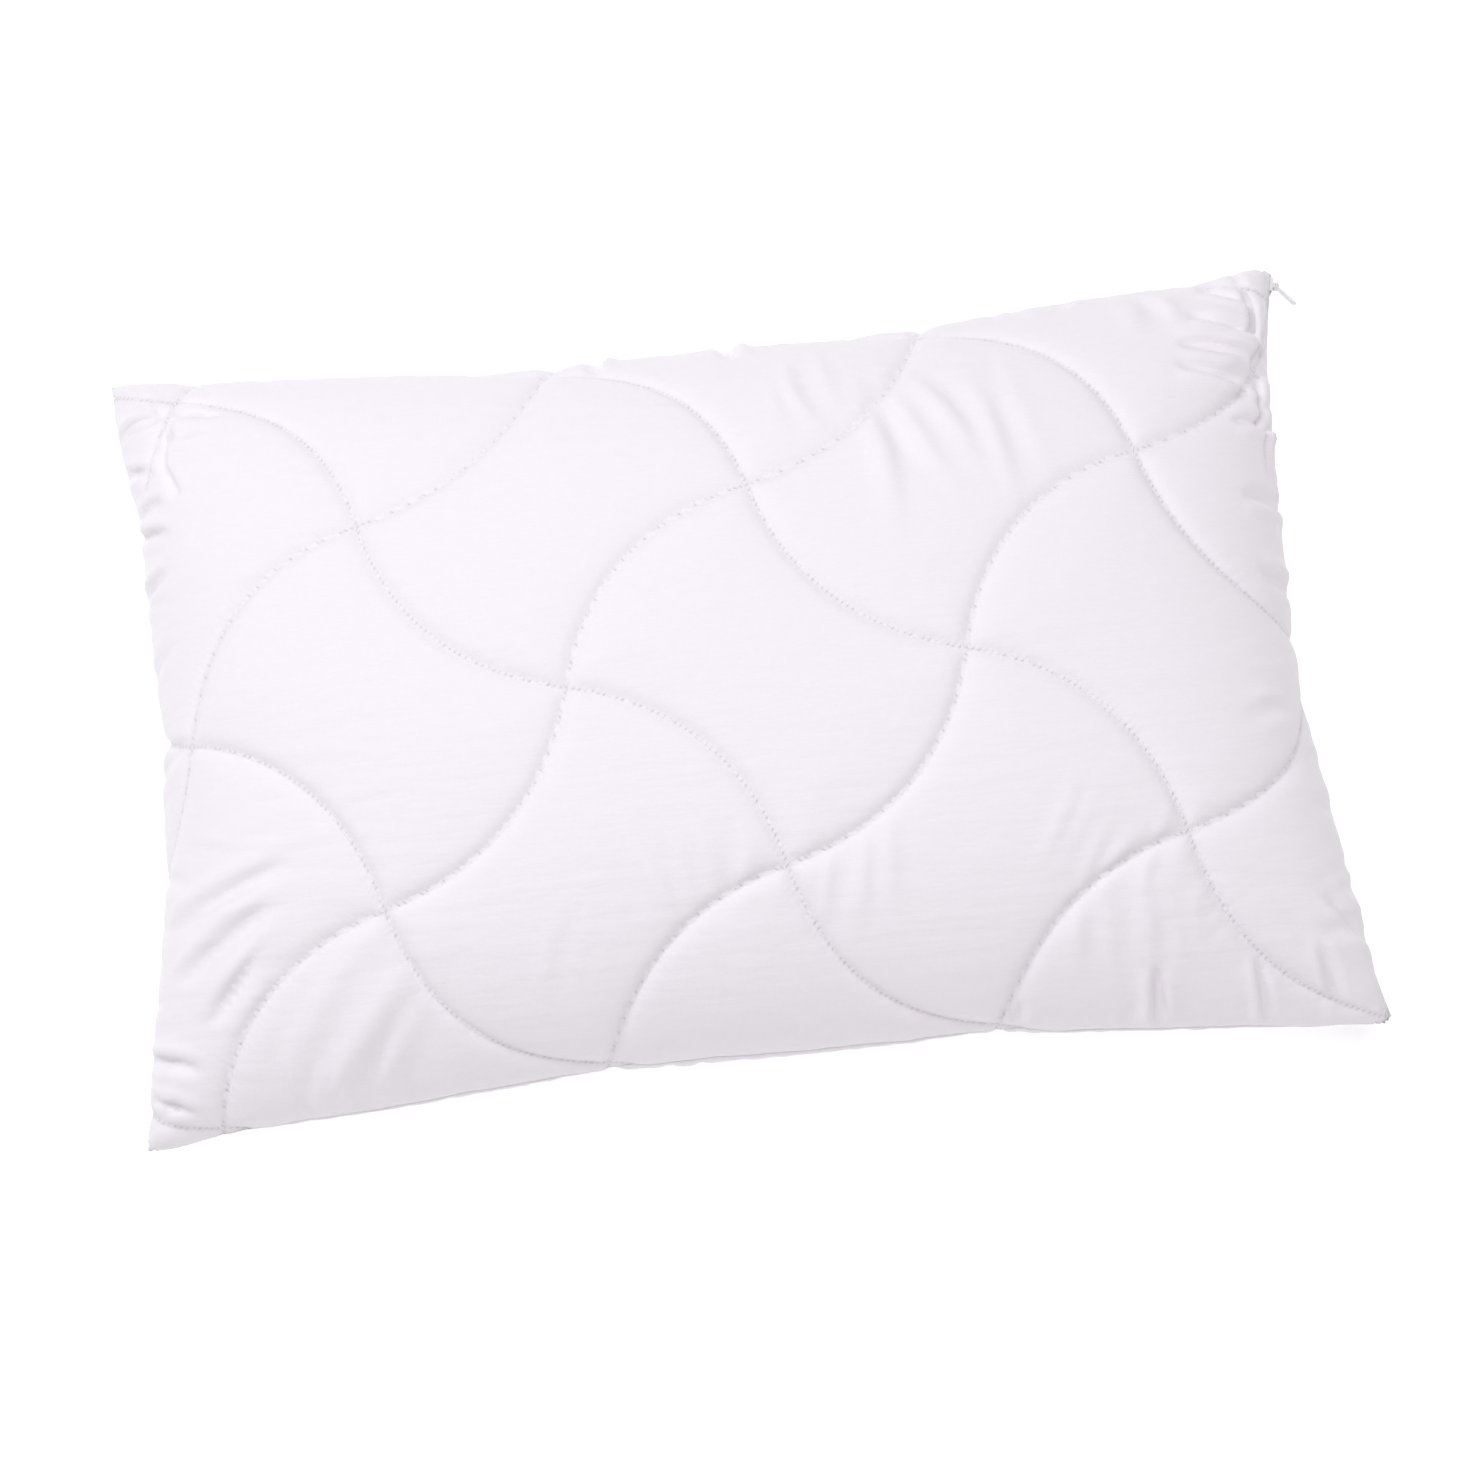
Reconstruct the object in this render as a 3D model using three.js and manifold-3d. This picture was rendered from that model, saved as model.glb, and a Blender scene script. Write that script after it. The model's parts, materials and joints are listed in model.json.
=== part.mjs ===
// A quilted bed pillow lying on its back face, with a zip along one short side.
//
// Units are millimetres and +Z is up. The origin is the centre of the flat resting face.
// +X points to the short side with the zip, +Y to the long side that carries the care label.
// The cover is two quilted panels, front and back, each of three layers: outer fabric, wadding
// and lining. They are sewn together on three sides and joined by the zip on the fourth. The
// loose fibre filling lies between them.

import * as THREE from "three";
import { mergeVertices } from "three/addons/utils/BufferGeometryUtils.js";
import Module from "manifold-3d";

// Driving dimensions of the filled pillow

const CORNER_X = 358.5; // from the middle to a corner along X
const CORNER_Y = 237.5; // from the middle to a corner along Y
const PULL_SHORT = 27; // how far the filling draws in the middle of a short side
const PULL_LONG = 23.5; // how far the filling draws in the middle of a long side
const SEAM_Z = 62; // height of the seam above the resting face
const FRONT_RISE = 82; // height of the front crown above the seam
const BACK_RISE = 80; // depth of the back crown below the seam, before the rest flattens it
const CROWN_POWER = 0.5; // roundness of the crown towards the edges

// Layers of a panel, from the outside in

const GAP = 0.4; // between one layer and the next, and between other touching pieces
const FABRIC = 1.2;
const WADDING = 6;
const LINING = 0.8;
const SEAM_GAP = 0.3; // between the two panels' edges along the sewn sides
const LAYER_REACH = 0.905; // the inner layers and the filling stop at this share of the way out
const CELLS_X = 10; // grid cells from the middle to a short side
const CELLS_Y = 7; // grid cells from the middle to a long side

// Quilting: two families of wavy lines that cross on a square lattice

const QUILT_PITCH = 233; // from one crossing to the next one level with it
const QUILT_MIDDLE_P = -0.6; // where the pillow's middle lies on the lattice, in pitches along X
const QUILT_MIDDLE_Q = 0.05; // and along Y
const QUILT_REACH = 0.9;
const WAVE_HEIGHT = 0.15; // height of a wave over its chord
const QUILT_LINES = [-2, -1, 0, 1]; // the numbered lines of each family that cross the pillow
const WAVE_FIRST = -5; // half waves along a line, from the one before the pillow to the one after it
const WAVE_LAST = 3;
const THREAD_RADIUS = 0.5;
const THREAD_STEPS = 9; // tube steps along one half wave
const THREAD_LIFT = 1.5; // the thread's middle above the cloth that it lies on
const THREAD_ROOM = 3.6; // between the back lining and the filling, for the thread there
const CASE_HALF_X = 375; // half the sewn case, laid flat and empty
const CASE_HALF_Y = 250;

// Seam

const SEAM_OUT = 1.2; // the seam thread's middle outside the panels' edges
const SEAM_STEPS = 20;

// Zip

const ZIP_HALF_GAP = 8; // from the middle of the zip to the fabric's edge
const ZIP_END = 232; // half the zip's length along Y
const OPENING_END = 233.5; // half the length of the opening that holds the zip
const ZIP_STEPS = 24;
const SLIDER_Y = 225; // where the slider rests, with the zip closed
const COIL_CLEAR = 0.6; // half the gap between the coils, where the slider's post runs
const COIL_SIZE = 1.8;
const TAPE_EDGE = 0.9;
const TAPE_THICK = 0.6;
const STITCH_LOW = 5.4; // from the middle of the zip to the row of stitching
const STOP_LENGTH = 1.6;
const SLIDER_LENGTH = 9;
const SLIDER_HALF_HEIGHT = 4;
const PLATE = 0.9; // thickness of the slider's plates and lugs
const POST_HALF = 0.3;
const POST_LENGTH = 2.5;
const LUG_INSIDE = 2.2; // from the slider's middle to the inside of a lug
const LUG_HALF = 1.5;
const PIVOT_OUT = 4.5; // from the zip's surface to the pull tab's pin
const PIN_RADIUS = 0.65;
const PIN_HOLE = 0.95;
const PIN_SIDES = 20;
const SLEEVE_RADIUS = 1.5;
const TAB_LENGTH = 16.5;
const TAB_THICK = 1.2;
const TAB_HALF_WIDTH = 2.6;
const TAB_NECK = 1.9; // half the neck's width, which fits between the lugs
const NECK_LENGTH = 3.4;
const TAB_CURVE_STEPS = 10;
const TAB_ANGLE = THREE.MathUtils.degToRad(-52); // the resting tab's direction in plan

// Care label

const LABEL_X = 200;
const LABEL_WIDTH = 30;
const LABEL_LENGTH = 42;
const LABEL_THICK = 0.5;
const LABEL_DROP = 1; // from the middle of the seam to the label's top edge

// Tolerances

const MERGE_WITHIN = 1e-4; // points closer than this are one point
const ROUNDING = 1e-6;

// Materials

const cloth = (color, roughness) => new THREE.MeshStandardMaterial({ color, roughness, metalness: 0 });
const outerCloth = cloth(0xf3f1f4, 0.8);
const waddingCloth = cloth(0xf6f6f2, 0.95);
const liningCloth = cloth(0xeeeeea, 0.85);
const fibre = cloth(0xfafaf8, 1);
const thread = cloth(0xf2f0f0, 0.6);
const tapeCloth = cloth(0xefeef0, 0.8);
const labelCloth = cloth(0xf7f7f7, 0.6);
const coilNylon = cloth(0xf0f0f0, 0.45);
const whiteMetal = new THREE.MeshStandardMaterial({ color: 0xe4e4e6, roughness: 0.35, metalness: 0.3 });

// Solids

const wasm = await Module();
wasm.setup();

function solid(geometry) {
  const bare = new THREE.BufferGeometry();
  bare.setAttribute("position", geometry.getAttribute("position"));
  bare.setIndex(geometry.getIndex());
  const merged = mergeVertices(bare, MERGE_WITHIN);
  return new wasm.Manifold(
    new wasm.Mesh({
      numProp: 3,
      vertProperties: new Float32Array(merged.attributes.position.array),
      triVerts: new Uint32Array(merged.index.array),
    }),
  );
}

function geometryOf(manifold) {
  const mesh = manifold.getMesh();
  const geometry = new THREE.BufferGeometry();
  geometry.setAttribute("position", new THREE.BufferAttribute(new Float32Array(mesh.vertProperties), 3));
  geometry.setIndex(new THREE.BufferAttribute(new Uint32Array(mesh.triVerts), 1));
  geometry.computeVertexNormals();
  return geometry;
}

function joined(geometries) {
  return geometries.map(solid).reduce((whole, piece) => whole.add(piece));
}

// Outline: the four sides are circular arcs, drawn in between the corners

const arcRadius = (halfChord, rise) => (halfChord ** 2 + rise ** 2) / (2 * rise);
const SHORT_RADIUS = arcRadius(CORNER_Y, PULL_SHORT);
const LONG_RADIUS = arcRadius(CORNER_X, PULL_LONG);
const ZIP_CENTRE_X = CORNER_X - PULL_SHORT + SHORT_RADIUS;
const LONG_CENTRE_Y = CORNER_Y - PULL_LONG + LONG_RADIUS;

const sideX = (y) => ZIP_CENTRE_X - Math.sqrt(SHORT_RADIUS ** 2 - y ** 2);
const sideY = (x) => LONG_CENTRE_Y - Math.sqrt(LONG_RADIUS ** 2 - x ** 2);

// u and v run from -1 to 1 across the pillow, from side to side.
function plan(u, v) {
  return [u * sideX(v * CORNER_Y), v * sideY(u * CORNER_X)];
}

const crown = (u, v) => (Math.max(0, 1 - u * u) * Math.max(0, 1 - v * v)) ** CROWN_POWER;

// Half the opening between the panels' edges, wide along the zip and almost closed elsewhere.
function edgeGap(u, v) {
  const alongZip = Math.abs(v) * CORNER_Y <= OPENING_END + ROUNDING ? 1 : 0;
  const nearZip = THREE.MathUtils.clamp((u - LAYER_REACH) / (1 - LAYER_REACH), 0, 1);
  return SEAM_GAP / 2 + (ZIP_HALF_GAP - SEAM_GAP / 2) * nearZip * alongZip;
}

const frontInside = (u, v) => SEAM_Z + edgeGap(u, v) + FRONT_RISE * crown(u, v);
const backInside = (u, v) => Math.max(FABRIC, SEAM_Z - edgeGap(u, v) - BACK_RISE * crown(u, v));

// Grid lines, closer together towards the edges, where the crown is steeper

function gridLines(cells, ...extra) {
  const half = [...extra, 1];
  for (let i = 1; i < cells; i++) half.push(Math.sin((Math.PI / 2) * (i / cells)));
  half.sort((a, b) => a - b);
  return [...half.map((value) => -value).reverse(), 0, ...half];
}

const LINES_U = gridLines(CELLS_X);
const LINES_V = gridLines(CELLS_Y, OPENING_END / CORNER_Y);
const within = (lines) => lines.filter((value) => Math.abs(value) <= LAYER_REACH);

// A closed sheet between two height functions over the grid.
function layer(bottom, top, us, vs) {
  const positions = [];
  const index = [];
  const columns = us.length;
  const rows = vs.length;
  for (const height of [bottom, top])
    for (const v of vs)
      for (const u of us) {
        const [x, y] = plan(u, v);
        positions.push(x, y, height(u, v));
      }
  const at = (side, row, column) => (side * rows + row) * columns + column;
  const quad = (a, b, c, d) => index.push(a, b, c, a, c, d);
  for (let r = 0; r < rows - 1; r++)
    for (let c = 0; c < columns - 1; c++) {
      quad(at(1, r, c), at(1, r, c + 1), at(1, r + 1, c + 1), at(1, r + 1, c));
      index.push(at(0, r, c), at(0, r + 1, c + 1), at(0, r, c + 1));
      index.push(at(0, r, c), at(0, r + 1, c), at(0, r + 1, c + 1));
    }
  for (let c = 0; c < columns - 1; c++) {
    quad(at(0, 0, c), at(0, 0, c + 1), at(1, 0, c + 1), at(1, 0, c));
    quad(at(0, rows - 1, c + 1), at(0, rows - 1, c), at(1, rows - 1, c), at(1, rows - 1, c + 1));
  }
  for (let r = 0; r < rows - 1; r++) {
    quad(at(0, r + 1, 0), at(0, r, 0), at(1, r, 0), at(1, r + 1, 0));
    const end = columns - 1;
    quad(at(0, r, end), at(0, r + 1, end), at(1, r + 1, end), at(1, r, end));
  }
  const geometry = new THREE.BufferGeometry();
  geometry.setAttribute("position", new THREE.Float32BufferAttribute(positions, 3));
  geometry.setIndex(index);
  geometry.computeVertexNormals();
  return geometry;
}

const pillow = new THREE.Group();

function addPiece(name, geometry, material, parent = pillow) {
  const mesh = new THREE.Mesh(geometry, material);
  mesh.name = name;
  parent.add(mesh);
  return mesh;
}

// The two panels, each built from its inside face of outer fabric inwards

const raised = (height, by) => (u, v) => height(u, v) + by;

function addPanel(side, inside, inward) {
  const us = within(LINES_U);
  const vs = within(LINES_V);
  const slab = (from, thick, lines) => {
    const ends = [from * inward, (from + thick) * inward].sort((a, b) => a - b);
    return layer(raised(inside, ends[0]), raised(inside, ends[1]), ...lines);
  };
  addPiece(`${side}_outer_fabric`, slab(-FABRIC, FABRIC, [LINES_U, LINES_V]), outerCloth);
  addPiece(`${side}_wadding`, slab(GAP, WADDING, [us, vs]), waddingCloth);
  addPiece(`${side}_lining`, slab(2 * GAP + WADDING, LINING, [us, vs]), liningCloth);
}

function addFilling() {
  const panel = 2 * GAP + WADDING + LINING;
  const geometry = layer(
    raised(backInside, panel + THREAD_ROOM),
    raised(frontInside, -panel - GAP),
    within(LINES_U),
    within(LINES_V),
  );
  addPiece("fibre_filling", geometry, fibre);
}

// Threads: square tubes along a list of points

function tube(points) {
  const section = new THREE.Shape();
  section.moveTo(THREAD_RADIUS, 0);
  section.lineTo(0, THREAD_RADIUS);
  section.lineTo(-THREAD_RADIUS, 0);
  section.lineTo(0, -THREAD_RADIUS);
  const extrudePath = new THREE.CatmullRomCurve3(points);
  return new THREE.ExtrudeGeometry(section, { steps: points.length - 1, bevelEnabled: false, extrudePath });
}

// Height of a faceted grid surface at (u, v), found on the same triangles as layer() makes.
function facetHeight(height, u, v) {
  const cell = (lines, value) => {
    const i = Math.max(0, lines.findIndex((line) => line >= value) - 1);
    return [lines[i], lines[i + 1], (value - lines[i]) / (lines[i + 1] - lines[i])];
  };
  const [u0, u1, s] = cell(LINES_U, u);
  const [v0, v1, t] = cell(LINES_V, v);
  const [low, high] = [height(u0, v0), height(u1, v1)];
  if (s >= t) return low + (height(u1, v0) - low) * (s - t) + (high - low) * t;
  return low + (height(u0, v1) - low) * (t - s) + (high - low) * s;
}

// A point of one wavy line, in pitches: the line's number, its family (1 runs down to the right,
// -1 up to the right) and how many half waves along it. The wave bows to one side and then the other.
function wavePoint(number, family, along) {
  const wave = Math.floor(along);
  const side = wave % 2 === 0 ? 1 : -1;
  const share = along - wave;
  const bow = side * WAVE_HEIGHT * 2 * share * (1 - share);
  return [along / 2 + family * bow, family * (number - along / 2) + bow];
}

function quiltLine(number, family, surface, lift) {
  const points = [];
  for (let i = WAVE_FIRST * THREAD_STEPS; i <= WAVE_LAST * THREAD_STEPS; i++) {
    const [p, q] = wavePoint(number, family, i / THREAD_STEPS);
    const u = ((p - QUILT_MIDDLE_P) * QUILT_PITCH) / CASE_HALF_X;
    const v = ((q - QUILT_MIDDLE_Q) * QUILT_PITCH) / CASE_HALF_Y;
    if (Math.abs(u) > QUILT_REACH || Math.abs(v) > QUILT_REACH) continue;
    const [x, y] = plan(u, v);
    points.push(new THREE.Vector3(x, y, facetHeight(surface, u, v) + lift));
  }
  return tube(points);
}

function addQuilting(name, surface, lift) {
  const lines = [];
  for (const family of [1, -1])
    for (const number of QUILT_LINES) lines.push(quiltLine(number, family, surface, lift));
  addPiece(name, geometryOf(joined(lines)), thread);
}

// The seam's thread runs just outside the panels' edges on the three sewn sides.
function addSeamThread() {
  const [endX, endY] = [CORNER_X + SEAM_OUT, CORNER_Y + SEAM_OUT];
  const at = (x, y) => new THREE.Vector3(x, y, SEAM_Z);
  const along = (half, pointAt) =>
    Array.from({ length: SEAM_STEPS + 1 }, (_, i) => pointAt(half * ((2 * i) / SEAM_STEPS - 1)));
  const sides = [
    along(endX, (x) => at(x, sideY(Math.min(CORNER_X, Math.abs(x))) + SEAM_OUT)),
    along(endX, (x) => at(x, -sideY(Math.min(CORNER_X, Math.abs(x))) - SEAM_OUT)),
    along(endY, (y) => at(-sideX(Math.min(CORNER_Y, Math.abs(y))) - SEAM_OUT, y)),
  ];
  addPiece("seam_thread", geometryOf(joined(sides.map((points) => tube(points)))), thread);
}

// Zip: everything lies on one arc, so that the slider runs along it by turning about its centre.
// Depths are measured outwards from the arc, and heights from the middle of the zip.

const zip = new THREE.Group();
zip.position.set(ZIP_CENTRE_X, 0, SEAM_Z);
pillow.add(zip);

function arcStrip([depth0, depth1], [z0, z1], [y0, y1], steps = ZIP_STEPS) {
  const angle = (y) => Math.PI - Math.asin(y / SHORT_RADIUS);
  const shape = new THREE.Shape();
  shape.absarc(0, 0, SHORT_RADIUS - depth0, angle(y1), angle(y0), false);
  shape.absarc(0, 0, SHORT_RADIUS - depth1, angle(y0), angle(y1), true);
  const geometry = new THREE.ExtrudeGeometry(shape, {
    depth: z1 - z0,
    bevelEnabled: false,
    curveSegments: steps,
  });
  return geometry.translate(0, 0, z0);
}

const span = (low, high, side) => (side > 0 ? [low, high] : [-high, -low]);
const COIL_TOP = COIL_CLEAR + COIL_SIZE;
const COIL_DEPTH = [-COIL_SIZE / 2, COIL_SIZE / 2];
const TAPE_OUT = COIL_DEPTH[0] - GAP;
const COIL_END = ZIP_END - STOP_LENGTH - GAP;

function addZipSide(word, side) {
  const tapeHeights = span(TAPE_EDGE, ZIP_HALF_GAP - GAP, side);
  const full = [-ZIP_END, ZIP_END];
  const tape = arcStrip([TAPE_OUT - TAPE_THICK, TAPE_OUT], tapeHeights, full);
  addPiece(`zip_tape_${word}`, tape, tapeCloth, zip);
  const coil = arcStrip(COIL_DEPTH, span(COIL_CLEAR, COIL_TOP, side), [-COIL_END, COIL_END]);
  addPiece(`zip_coil_${word}`, coil, coilNylon, zip);
  const stitchDepth = [TAPE_OUT + GAP, TAPE_OUT + GAP + THREAD_RADIUS];
  const stitch = arcStrip(stitchDepth, span(STITCH_LOW, STITCH_LOW + 2 * THREAD_RADIUS, side), full);
  addPiece(`zip_stitching_${word}`, stitch, thread, zip);
  const stop = arcStrip(COIL_DEPTH, span(COIL_CLEAR, COIL_TOP, side), [COIL_END + GAP, ZIP_END], 1);
  addPiece(`zip_top_stop_${word}`, stop, whiteMetal, zip);
}

function addBottomStop() {
  const stop = arcStrip(COIL_DEPTH, [-COIL_TOP, COIL_TOP], [-ZIP_END, -COIL_END - GAP], 1);
  addPiece("zip_bottom_stop", stop, whiteMetal, zip);
}

// Slider, in its own axes: x outwards, y along the zip, z up

const slider = new THREE.Group();
const sliderTurn = new THREE.Group();
sliderTurn.rotation.z = -Math.asin(SLIDER_Y / SHORT_RADIUS);
sliderTurn.add(slider);
slider.position.x = -SHORT_RADIUS;
zip.add(sliderTurn);

function block([x0, x1], [y0, y1], [z0, z1]) {
  const box = new THREE.BoxGeometry(x1 - x0, y1 - y0, z1 - z0);
  return box.translate((x0 + x1) / 2, (y0 + y1) / 2, (z0 + z1) / 2);
}

function pin(radius, halfHeight) {
  const cylinder = new THREE.CylinderGeometry(radius, radius, 2 * halfHeight, PIN_SIDES);
  return cylinder.rotateX(Math.PI / 2).translate(PIVOT_OUT, 0, 0);
}

function addSlider() {
  const halfLength = SLIDER_LENGTH / 2;
  const length = [-halfLength, halfLength];
  const height = [-SLIDER_HALF_HEIGHT, SLIDER_HALF_HEIGHT];
  const outer = [COIL_DEPTH[1] + GAP, COIL_DEPTH[1] + GAP + PLATE];
  const innerTop = TAPE_OUT - TAPE_THICK - GAP;
  const inner = [innerTop - PLATE, innerTop];
  const pieces = [block(outer, length, height), block(inner, length, height)];
  pieces.push(block([inner[0], outer[1]], [halfLength - POST_LENGTH, halfLength], [-POST_HALF, POST_HALF]));
  for (const side of [1, -1]) {
    const flange = span(SLIDER_HALF_HEIGHT - PLATE, SLIDER_HALF_HEIGHT, side);
    pieces.push(block([TAPE_OUT + GAP, outer[1]], length, flange));
    const lug = span(LUG_INSIDE, LUG_INSIDE + PLATE, side);
    pieces.push(block([outer[1] - PLATE / 2, PIVOT_OUT + LUG_HALF], [-LUG_HALF, LUG_HALF], lug));
  }
  const body = joined(pieces).subtract(solid(pin(PIN_HOLE, SLIDER_HALF_HEIGHT)));
  addPiece("zip_slider", geometryOf(body), whiteMetal, slider);
  addPiece("zip_slider_pin", pin(PIN_RADIUS, LUG_INSIDE + PLATE), whiteMetal, slider);
}

// Pull tab: a sleeve round the pin, a narrow neck between the lugs and a wider rounded plate

function tabOutline() {
  const shape = new THREE.Shape();
  const tip = TAB_LENGTH - TAB_HALF_WIDTH;
  shape.moveTo(0, -TAB_NECK);
  shape.lineTo(NECK_LENGTH, -TAB_NECK);
  shape.lineTo(NECK_LENGTH, -TAB_HALF_WIDTH);
  shape.absarc(tip, 0, TAB_HALF_WIDTH, -Math.PI / 2, Math.PI / 2, false);
  shape.lineTo(NECK_LENGTH, TAB_HALF_WIDTH);
  shape.lineTo(NECK_LENGTH, TAB_NECK);
  shape.lineTo(0, TAB_NECK);
  const hole = new THREE.Path();
  hole.absarc(tip, 0, TAB_HALF_WIDTH / 2, 0, 2 * Math.PI, true);
  shape.holes.push(hole);
  return shape;
}

function addPullTab() {
  const options = { depth: TAB_THICK, bevelEnabled: false, curveSegments: TAB_CURVE_STEPS };
  const plate = new THREE.ExtrudeGeometry(tabOutline(), options);
  plate.translate(0, 0, -TAB_THICK / 2).rotateX(Math.PI / 2);
  const sleeve = new THREE.CylinderGeometry(SLEEVE_RADIUS, SLEEVE_RADIUS, 2 * TAB_NECK, PIN_SIDES);
  const hole = new THREE.CylinderGeometry(PIN_HOLE, PIN_HOLE, 4 * TAB_NECK, PIN_SIDES);
  for (const round of [sleeve, hole]) round.rotateX(Math.PI / 2);
  const geometry = geometryOf(joined([plate, sleeve]).subtract(solid(hole)));
  const tab = addPiece("zip_pull_tab", geometry, whiteMetal, slider);
  tab.position.x = PIVOT_OUT;
  tab.rotation.z = TAB_ANGLE - sliderTurn.rotation.z;
}

// The care label hangs from the long seam, clear of the back panel.
function addCareLabel() {
  const label = new THREE.BoxGeometry(LABEL_WIDTH, LABEL_THICK, LABEL_LENGTH);
  label.translate(0, 0, -LABEL_LENGTH / 2);
  const mesh = addPiece("care_label", label, labelCloth);
  mesh.position.set(LABEL_X, sideY(LABEL_X) + SEAM_OUT, SEAM_Z - LABEL_DROP);
  mesh.rotation.z = Math.asin(LABEL_X / LONG_RADIUS);
}

addPanel("front", frontInside, -1);
addPanel("back", backInside, 1);
addFilling();
addQuilting("front_quilting_thread", raised(frontInside, FABRIC), THREAD_LIFT);
addQuilting("back_quilting_thread", raised(backInside, 2 * GAP + WADDING + LINING), THREAD_LIFT);
addSeamThread();
addZipSide("upper", 1);
addZipSide("lower", -1);
addBottomStop();
addSlider();
addPullTab();
addCareLabel();

export default pillow;
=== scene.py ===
import json
import math

import bmesh
import bpy
import numpy as np
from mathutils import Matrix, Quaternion, Vector


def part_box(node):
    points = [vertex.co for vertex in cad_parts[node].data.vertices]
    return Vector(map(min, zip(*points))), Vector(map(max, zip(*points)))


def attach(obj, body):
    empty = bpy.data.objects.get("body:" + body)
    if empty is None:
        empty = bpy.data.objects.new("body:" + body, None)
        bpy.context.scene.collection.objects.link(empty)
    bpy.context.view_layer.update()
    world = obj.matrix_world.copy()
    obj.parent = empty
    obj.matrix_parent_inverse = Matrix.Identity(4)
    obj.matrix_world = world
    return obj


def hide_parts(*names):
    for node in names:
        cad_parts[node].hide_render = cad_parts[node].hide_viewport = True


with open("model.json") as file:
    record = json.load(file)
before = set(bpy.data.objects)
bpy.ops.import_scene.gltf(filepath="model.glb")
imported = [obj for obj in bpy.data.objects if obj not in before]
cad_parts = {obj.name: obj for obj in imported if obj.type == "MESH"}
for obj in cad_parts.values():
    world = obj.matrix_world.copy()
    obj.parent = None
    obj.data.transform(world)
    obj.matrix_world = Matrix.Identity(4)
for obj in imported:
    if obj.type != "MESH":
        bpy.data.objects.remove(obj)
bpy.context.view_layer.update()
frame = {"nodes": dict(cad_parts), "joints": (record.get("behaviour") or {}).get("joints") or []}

# Sizes in metres, from the frame wherever it holds them
joints = {joint["name"]: joint for joint in frame["joints"]}
ZIP_CENTRE_X, _, SEAM_Z = joints["slider_travel"]["pos_m"]
CORNER_X, CORNER_Y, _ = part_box("front_outer_fabric")[1]

# The sides are drawn in along arcs: the short ones along the zip's, the long ones by PULL_LONG
SHORT_RADIUS = math.hypot(ZIP_CENTRE_X - CORNER_X, CORNER_Y)
PULL_LONG = 0.0235
LONG_RADIUS = (CORNER_X**2 + PULL_LONG**2) / (2 * PULL_LONG)

# The sewn case laid flat, and the outer fabric
CASE_X, CASE_Y = 0.75, 0.5
CASE = np.array([CASE_X, CASE_Y])
CLOTH_THICK = 0.0006

# How far the corners are blunted, and from how near
BLUNT_DEPTH, BLUNT_REACH = 0.003, 0.015

# Waves of the sewn sides: radians to the metre, and depth. They start at other places on each side
# and fade away from the edge with a high power.
SIDE_WAVES = ((47.0, 0.0005), (83.0, 0.0004), (137.0, 0.0003), (211.0, 0.0002))
LEFT_START, LONG_START, LONG_START_STEP = 0.7, 2.1, 0.31
EDGE_POWER = 20

# The opening for the zip: half its height, how far its ends draw back, and the share of half the
# side over which it closes up
HEM = 0.0045
ZIP_TIP = 0.004
ZIP_CLOSING = 0.03

# Quilting lattice, as in the CAD part
PITCH = 0.233
MIDDLE_P, MIDDLE_Q = -0.6, 0.05
WAVE_HEIGHT = 0.15
LINES = [(family, number) for family in (1, -1) for number in range(-3, 3)]
CROSSING_P, CROSSING_Q = np.arange(-3, 3), np.arange(-2, 3)

FRONT, BACK = 0, 1
OUTWARD = np.array([1.0, -1.0])[:, None, None, None]


# ---------------------------------------------------------------- outline and grids

def side_x(y):
    """How far the short sides are from the middle, at y."""
    return ZIP_CENTRE_X - np.sqrt(SHORT_RADIUS**2 - y**2)


def side_y(x):
    """How far the long sides are from the middle, at x."""
    return CORNER_Y - PULL_LONG + LONG_RADIUS - np.sqrt(LONG_RADIUS**2 - x**2)


def uneven(along, start):
    """How far a sewn side is drawn in beyond its smooth arc, which is where its cloth is gathered."""
    return sum(depth * (1 + np.sin(turns * along + start * turns)) for turns, depth in SIDE_WAVES)


def unit_grid(columns, rows):
    return np.meshgrid(np.linspace(-1, 1, columns + 1), np.linspace(-1, 1, rows + 1))


def flat_grid(columns, rows):
    """The grid's points on the sewn case, laid flat."""
    u, v = unit_grid(columns, rows)
    return np.stack([u * CASE_X / 2, v * CASE_Y / 2], -1)


def outline(columns, rows):
    """The grid's points in plan, between the drawn-in sides and the blunted corners."""
    u, v = unit_grid(columns, rows)
    from_corner = np.hypot((1 - np.abs(u)) * CORNER_X, (1 - np.abs(v)) * CORNER_Y)
    blunt = BLUNT_DEPTH * np.clip(1 - from_corner / BLUNT_REACH, 0, 1) ** 2
    x = u * side_x(v * CORNER_Y) - np.sign(u) * blunt
    x = x + uneven(v * CORNER_Y, LEFT_START) * np.clip(-u, 0, 1) ** EDGE_POWER
    y = v * side_y(u * CORNER_X) - np.sign(v) * blunt
    y = y - v ** (EDGE_POWER + 1) * uneven(u * CORNER_X + v * LONG_START_STEP, LONG_START)
    return np.stack([x, y], -1)


def doubled(grid):
    """The same surfaces with a point added between each two."""
    fine = np.zeros((len(grid), 2 * grid.shape[1] - 1, 2 * grid.shape[2] - 1, grid.shape[3]))
    fine[:, ::2, ::2] = grid
    fine[:, ::2, 1::2] = (grid[:, :, 1:] + grid[:, :, :-1]) / 2
    fine[:, 1::2] = (fine[:, 2::2] + fine[:, :-2:2]) / 2
    return fine


def four_beside(grid):
    """The sum of the four points beside each inner point."""
    return grid[:, 1:-1, 2:] + grid[:, 1:-1, :-2] + grid[:, 2:, 1:-1] + grid[:, :-2, 1:-1]


def smoothed(grid, rounds):
    for _ in range(rounds):
        inner = grid[:, 1:-1, 1:-1]
        grid[:, 1:-1, 1:-1] = inner + (four_beside(grid) - 4 * inner) / 8
    return grid


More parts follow.
